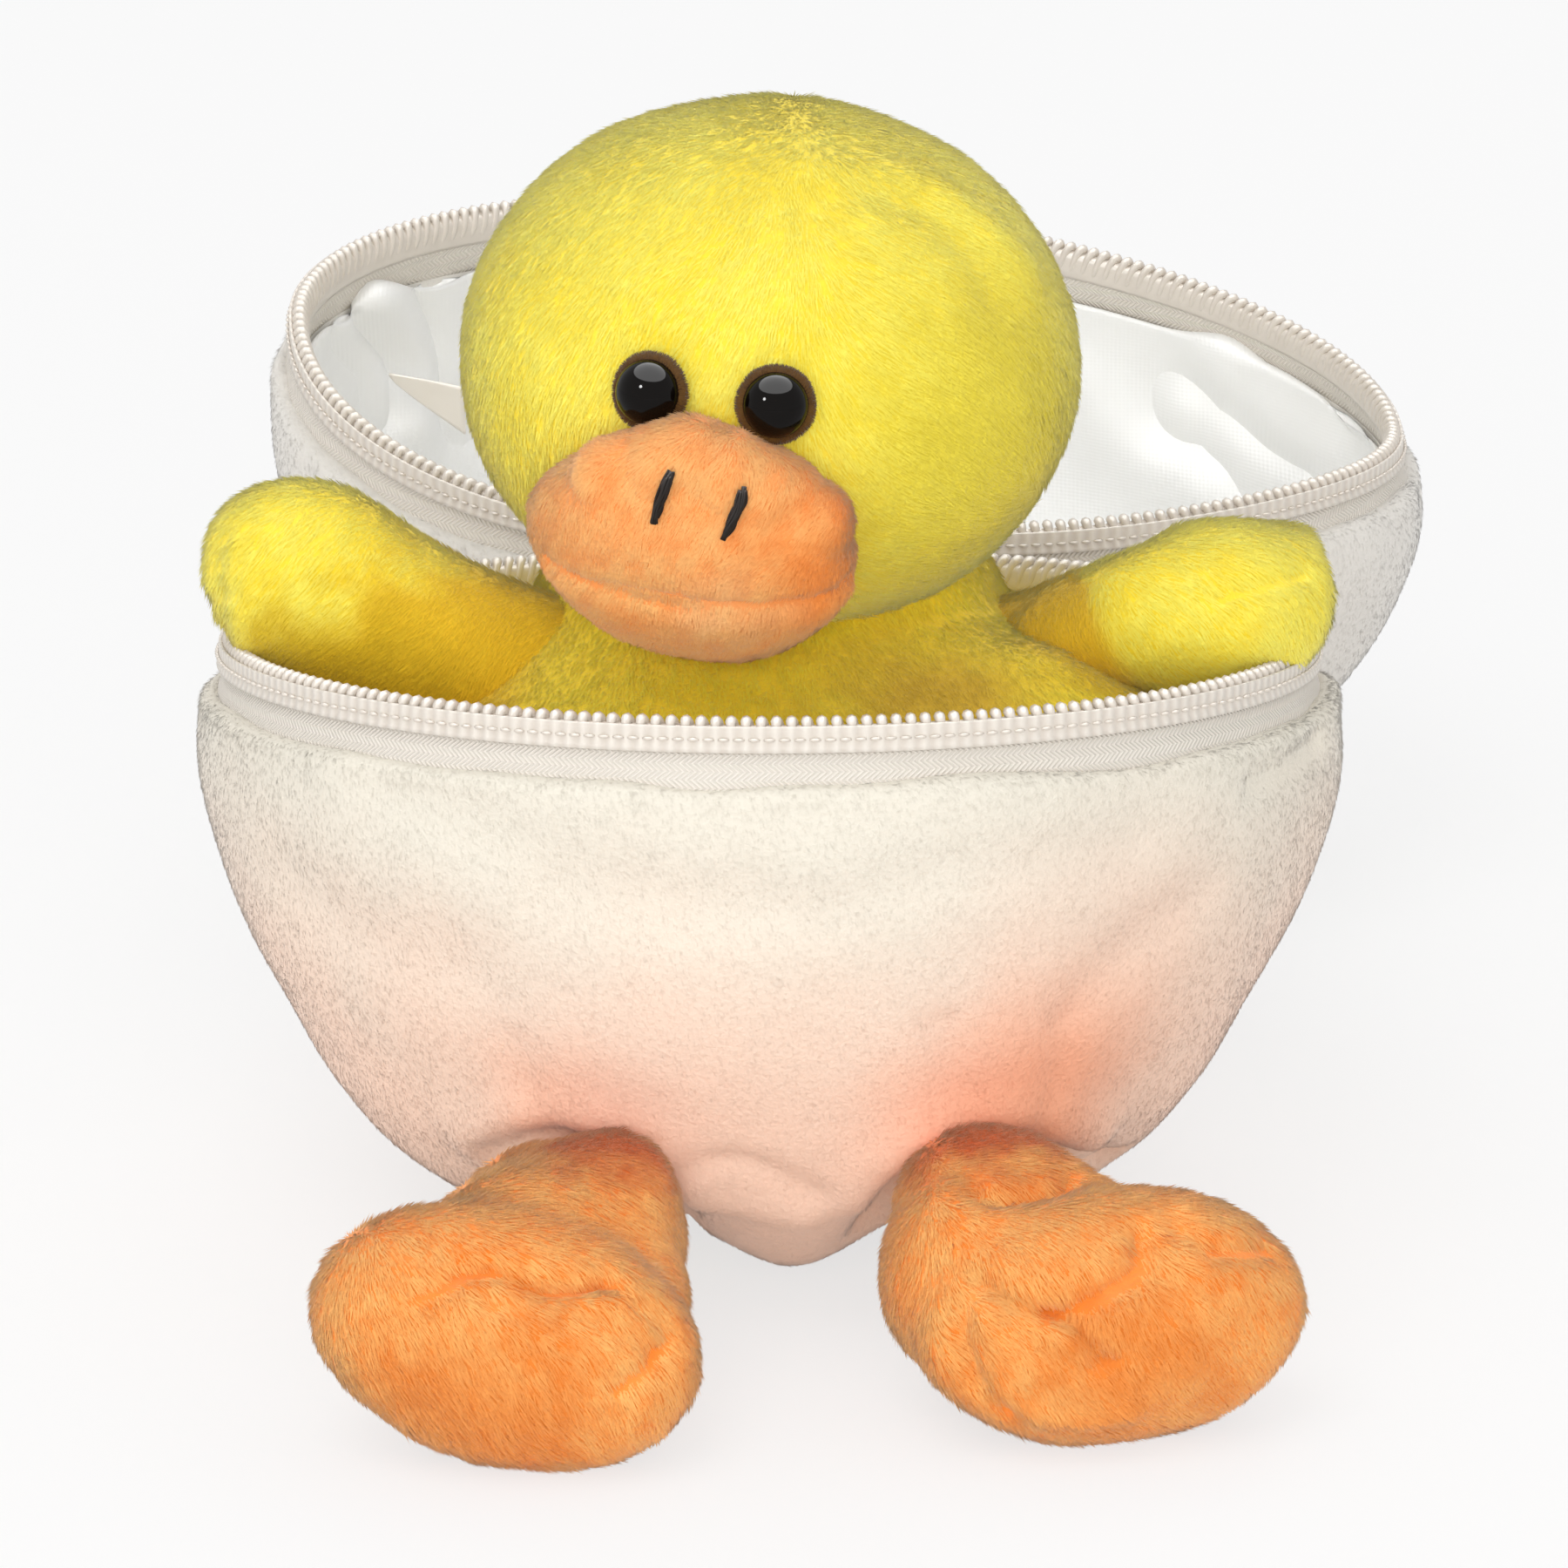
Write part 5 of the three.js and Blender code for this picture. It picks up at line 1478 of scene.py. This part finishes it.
def zip_coil(name, half, start, end):
    """The teeth: one nylon thread wound in tall loops along the rim, thicker at the head of each loop."""
    angles = np.linspace(start, end, 600)
    track = half.wall(angles, 0.0, TAPE_INSET)
    lengths = np.concatenate([[0], np.cumsum(np.linalg.norm(np.diff(track, axis=0), axis=1))])
    teeth = int(lengths[-1] / TOOTH_PITCH)
    steps = 16
    turn = np.arange(teeth * steps + 1) / steps
    phase = turn % 1
    # The outer side of a loop stands upright, so the thread moves on to the next tooth on the inner side
    moved = np.floor(turn) + np.clip((phase - 0.5) / 0.5, 0, 1)
    angle = np.interp(moved * TOOTH_PITCH, lengths, angles)
    top = SEAM_GAP + CHAIN_HEIGHT - COIL_HEAD
    bottom = COIL_FOOT + COIL_THREAD
    lift = (top + bottom) / 2 - (top - bottom) / 2 * np.cos(FULL_TURN * phase)
    bulge = np.sin(FULL_TURN * phase)
    inset = CHAIN_INSET + CHAIN_WALL / 2 - bulge * (CHAIN_WALL / 2 - COIL_THREAD)
    path = half.wall(angle, 0.0, inset) + np.outer(lift, UPWARD)
    head = np.exp(-(((phase - 0.47) / 0.13) ** 2))
    radius = COIL_THREAD + (COIL_HEAD - COIL_THREAD) * head
    return welded(name, [tube(path, radius, 8)])


def zip_stitches(name, half, start, end):
    """The sewing thread that holds the coil down: one short stitch over the legs of each tooth."""
    count = int((end - start) * half.half_width / TOOTH_PITCH)
    parts = []
    for middle in np.linspace(start, end, count)[1:-1]:
        share = np.linspace(-1, 1, 5)
        angles = middle + share * 0.36 * TOOTH_PITCH / half.half_width
        bow = STITCH_THREAD * (1.2 - share**2)
        path = half.wall(angles, -0.25 * MM, COVER_INSET - bow)
        parts.append(tube(path, STITCH_THREAD * (1 - 0.5 * share**2), 6))
    return welded(name, parts)


def tube(path, radius, sides):
    """The points and faces of a closed tube along a path, with its radius at each point."""
    ahead = unit(np.gradient(path, axis=0))
    side = unit(np.cross(ahead, UPWARD + 1e-3))
    for k in range(1, len(path)):
        if side[k] @ side[k - 1] < 0:
            side[k] = -side[k]
    up = unit(np.cross(side, ahead))
    turn = np.arange(sides) / sides * FULL_TURN
    radius = np.broadcast_to(radius, len(path))[:, None, None]
    round_it = side[:, None] * np.cos(turn)[None, :, None] + up[:, None] * np.sin(turn)[None, :, None]
    points = np.concatenate([(path[:, None] + round_it * radius).reshape(-1, 3), path[:1], path[-1:]])
    last = (len(path) - 1) * sides
    ends = [
        fan_faces(np.arange(sides), len(points) - 2, False),
        fan_faces(last + np.arange(sides), len(points) - 1, True),
    ]
    return points, ring_faces(len(path), sides), np.concatenate(ends)


def welded(name, parts):
    """One object from the points and faces of several."""
    points, quads, corners, first = [], [], [], 0
    for part, sides, ends in parts:
        points.append(part)
        quads.append(sides + first)
        corners.append(ends + first)
        first += len(part)
    made = build_mesh(name, np.concatenate(points), np.concatenate(quads), np.concatenate(corners))
    turn_out(made)
    return made


class DUCK_OT_stage(bpy.types.Operator):
    """Set up the floor, the lamps and the camera"""

    bl_idname = "duck.stage"
    bl_label = "Stage"

    def execute(self, context):
        scene = context.scene
        scene.view_settings.view_transform = "Standard"
        camera = bpy.data.objects.new("camera", bpy.data.cameras.new("camera"))
        camera.data.lens = LENS / MM
        camera.data.sensor_width = SENSOR / MM
        camera.data.clip_start = 0.01
        camera.data.clip_end = 20
        camera.location = camera_place()
        camera.rotation_euler = (math.pi / 2 - CAMERA_ELEVATION, 0, 0)
        scene.collection.objects.link(camera)
        scene.camera = camera
        corners = np.array([[-1, -1, 0], [1, -1, 0], [1, 1, 0], [-1, 1, 0]]) * FLOOR_REACH
        floor = build_mesh("floor", corners, np.array([[0, 1, 2, 3]]))
        floor.data.materials.append(floor_material())
        for name, place, size, power, lights, shines in (
            ("key lamp", (-0.35, -0.5, 1.35), 0.9, 3.3, True, False),
            ("front lamp", (-0.4, -1.5, 0.1), 2.0, 13.5, True, False),
            ("fill lamp", (0.2, -1.5, 0.55), 1.0, 6.0, True, False),
            ("back lamp", (0.2, 0.9, 1.1), 0.8, 1.5, True, True),
            ("ceiling shine", (0.0, 0.0, 1.35), 2.4, 120.0, False, True),
            ("window shine", (-0.75, -1.0, 0.75), 0.2, 8.0, False, True),
        ):
            lamp = bpy.data.objects.new(name, bpy.data.lights.new(name, "AREA"))
            lamp.data.shape = "DISK"
            lamp.data.energy = power
            lamp.data.size = size
            lamp.location = place
            lamp.visible_diffuse = lights
            lamp.visible_glossy = shines
            aim = LAMP_AIM - Vector(place)
            lamp.rotation_euler = aim.to_track_quat("-Z", "Y").to_euler()
            scene.collection.objects.link(lamp)
        world = bpy.data.worlds.new("room")
        scene.world = world
        world.use_nodes = True
        room = Nodes(world.node_tree)
        background = room.tree.nodes["Background"]
        background.inputs["Color"].default_value = (1, 1, 1, 1)
        room.feed(background.inputs["Strength"], ROOM_LIGHT + room.seen_as_background() * (1 - ROOM_LIGHT))
        return {"FINISHED"}


def floor_material():
    """A pale floor that shows almost white and keeps a faint shadow."""
    board = Board("floor", Base_Color=(0.9, 0.9, 0.9, 1), Roughness=1.0, Specular_IOR_Level=0.0)
    white = board.node("ShaderNodeEmission", {}, {"Strength": 1.0})
    share = board.seen_as_background() * 0.7
    lit = Wire(board, board.shader.outputs[0])
    mixed = board.node("ShaderNodeMixShader", {}, {0: share, 1: lit, 2: white})
    board.feed(board.tree.nodes["Material Output"].inputs["Surface"], mixed)
    return board.material


class DUCK_PT_panel(bpy.types.Panel):
    """The toy's sizes, colours and building steps"""

    bl_idname = "DUCK_PT_panel"
    bl_label = "Plush duck"
    bl_space_type = "VIEW_3D"
    bl_region_type = "UI"
    bl_category = "Plush duck"

    def draw(self, context):
        for name in ToySettings.__annotations__:
            self.layout.prop(context.scene.plush_duck, name)
        for step in BUILD_STEPS:
            self.layout.operator(step.bl_idname)


BUILD_STEPS = (
    DUCK_OT_stage,
    DUCK_OT_head,
    DUCK_OT_torso,
    DUCK_OT_wings,
    DUCK_OT_feet,
    DUCK_OT_bill,
    DUCK_OT_eyes,
    DUCK_OT_shell,
    DUCK_OT_lining,
    DUCK_OT_label,
    DUCK_OT_zip,
    DUCK_OT_hinge,
    DUCK_OT_slider,
)
CLASSES = (ToySettings, *BUILD_STEPS, DUCK_PT_panel)


def register():
    for entry in CLASSES:
        bpy.utils.register_class(entry)
    bpy.types.Scene.plush_duck = PointerProperty(type=ToySettings)


def unregister():
    del bpy.types.Scene.plush_duck
    for entry in reversed(CLASSES):
        bpy.utils.unregister_class(entry)


def main():
    register()
    for step in BUILD_STEPS:
        getattr(bpy.ops.duck, step.bl_idname.split(".")[1])()


if __name__ == "__main__":
    main()
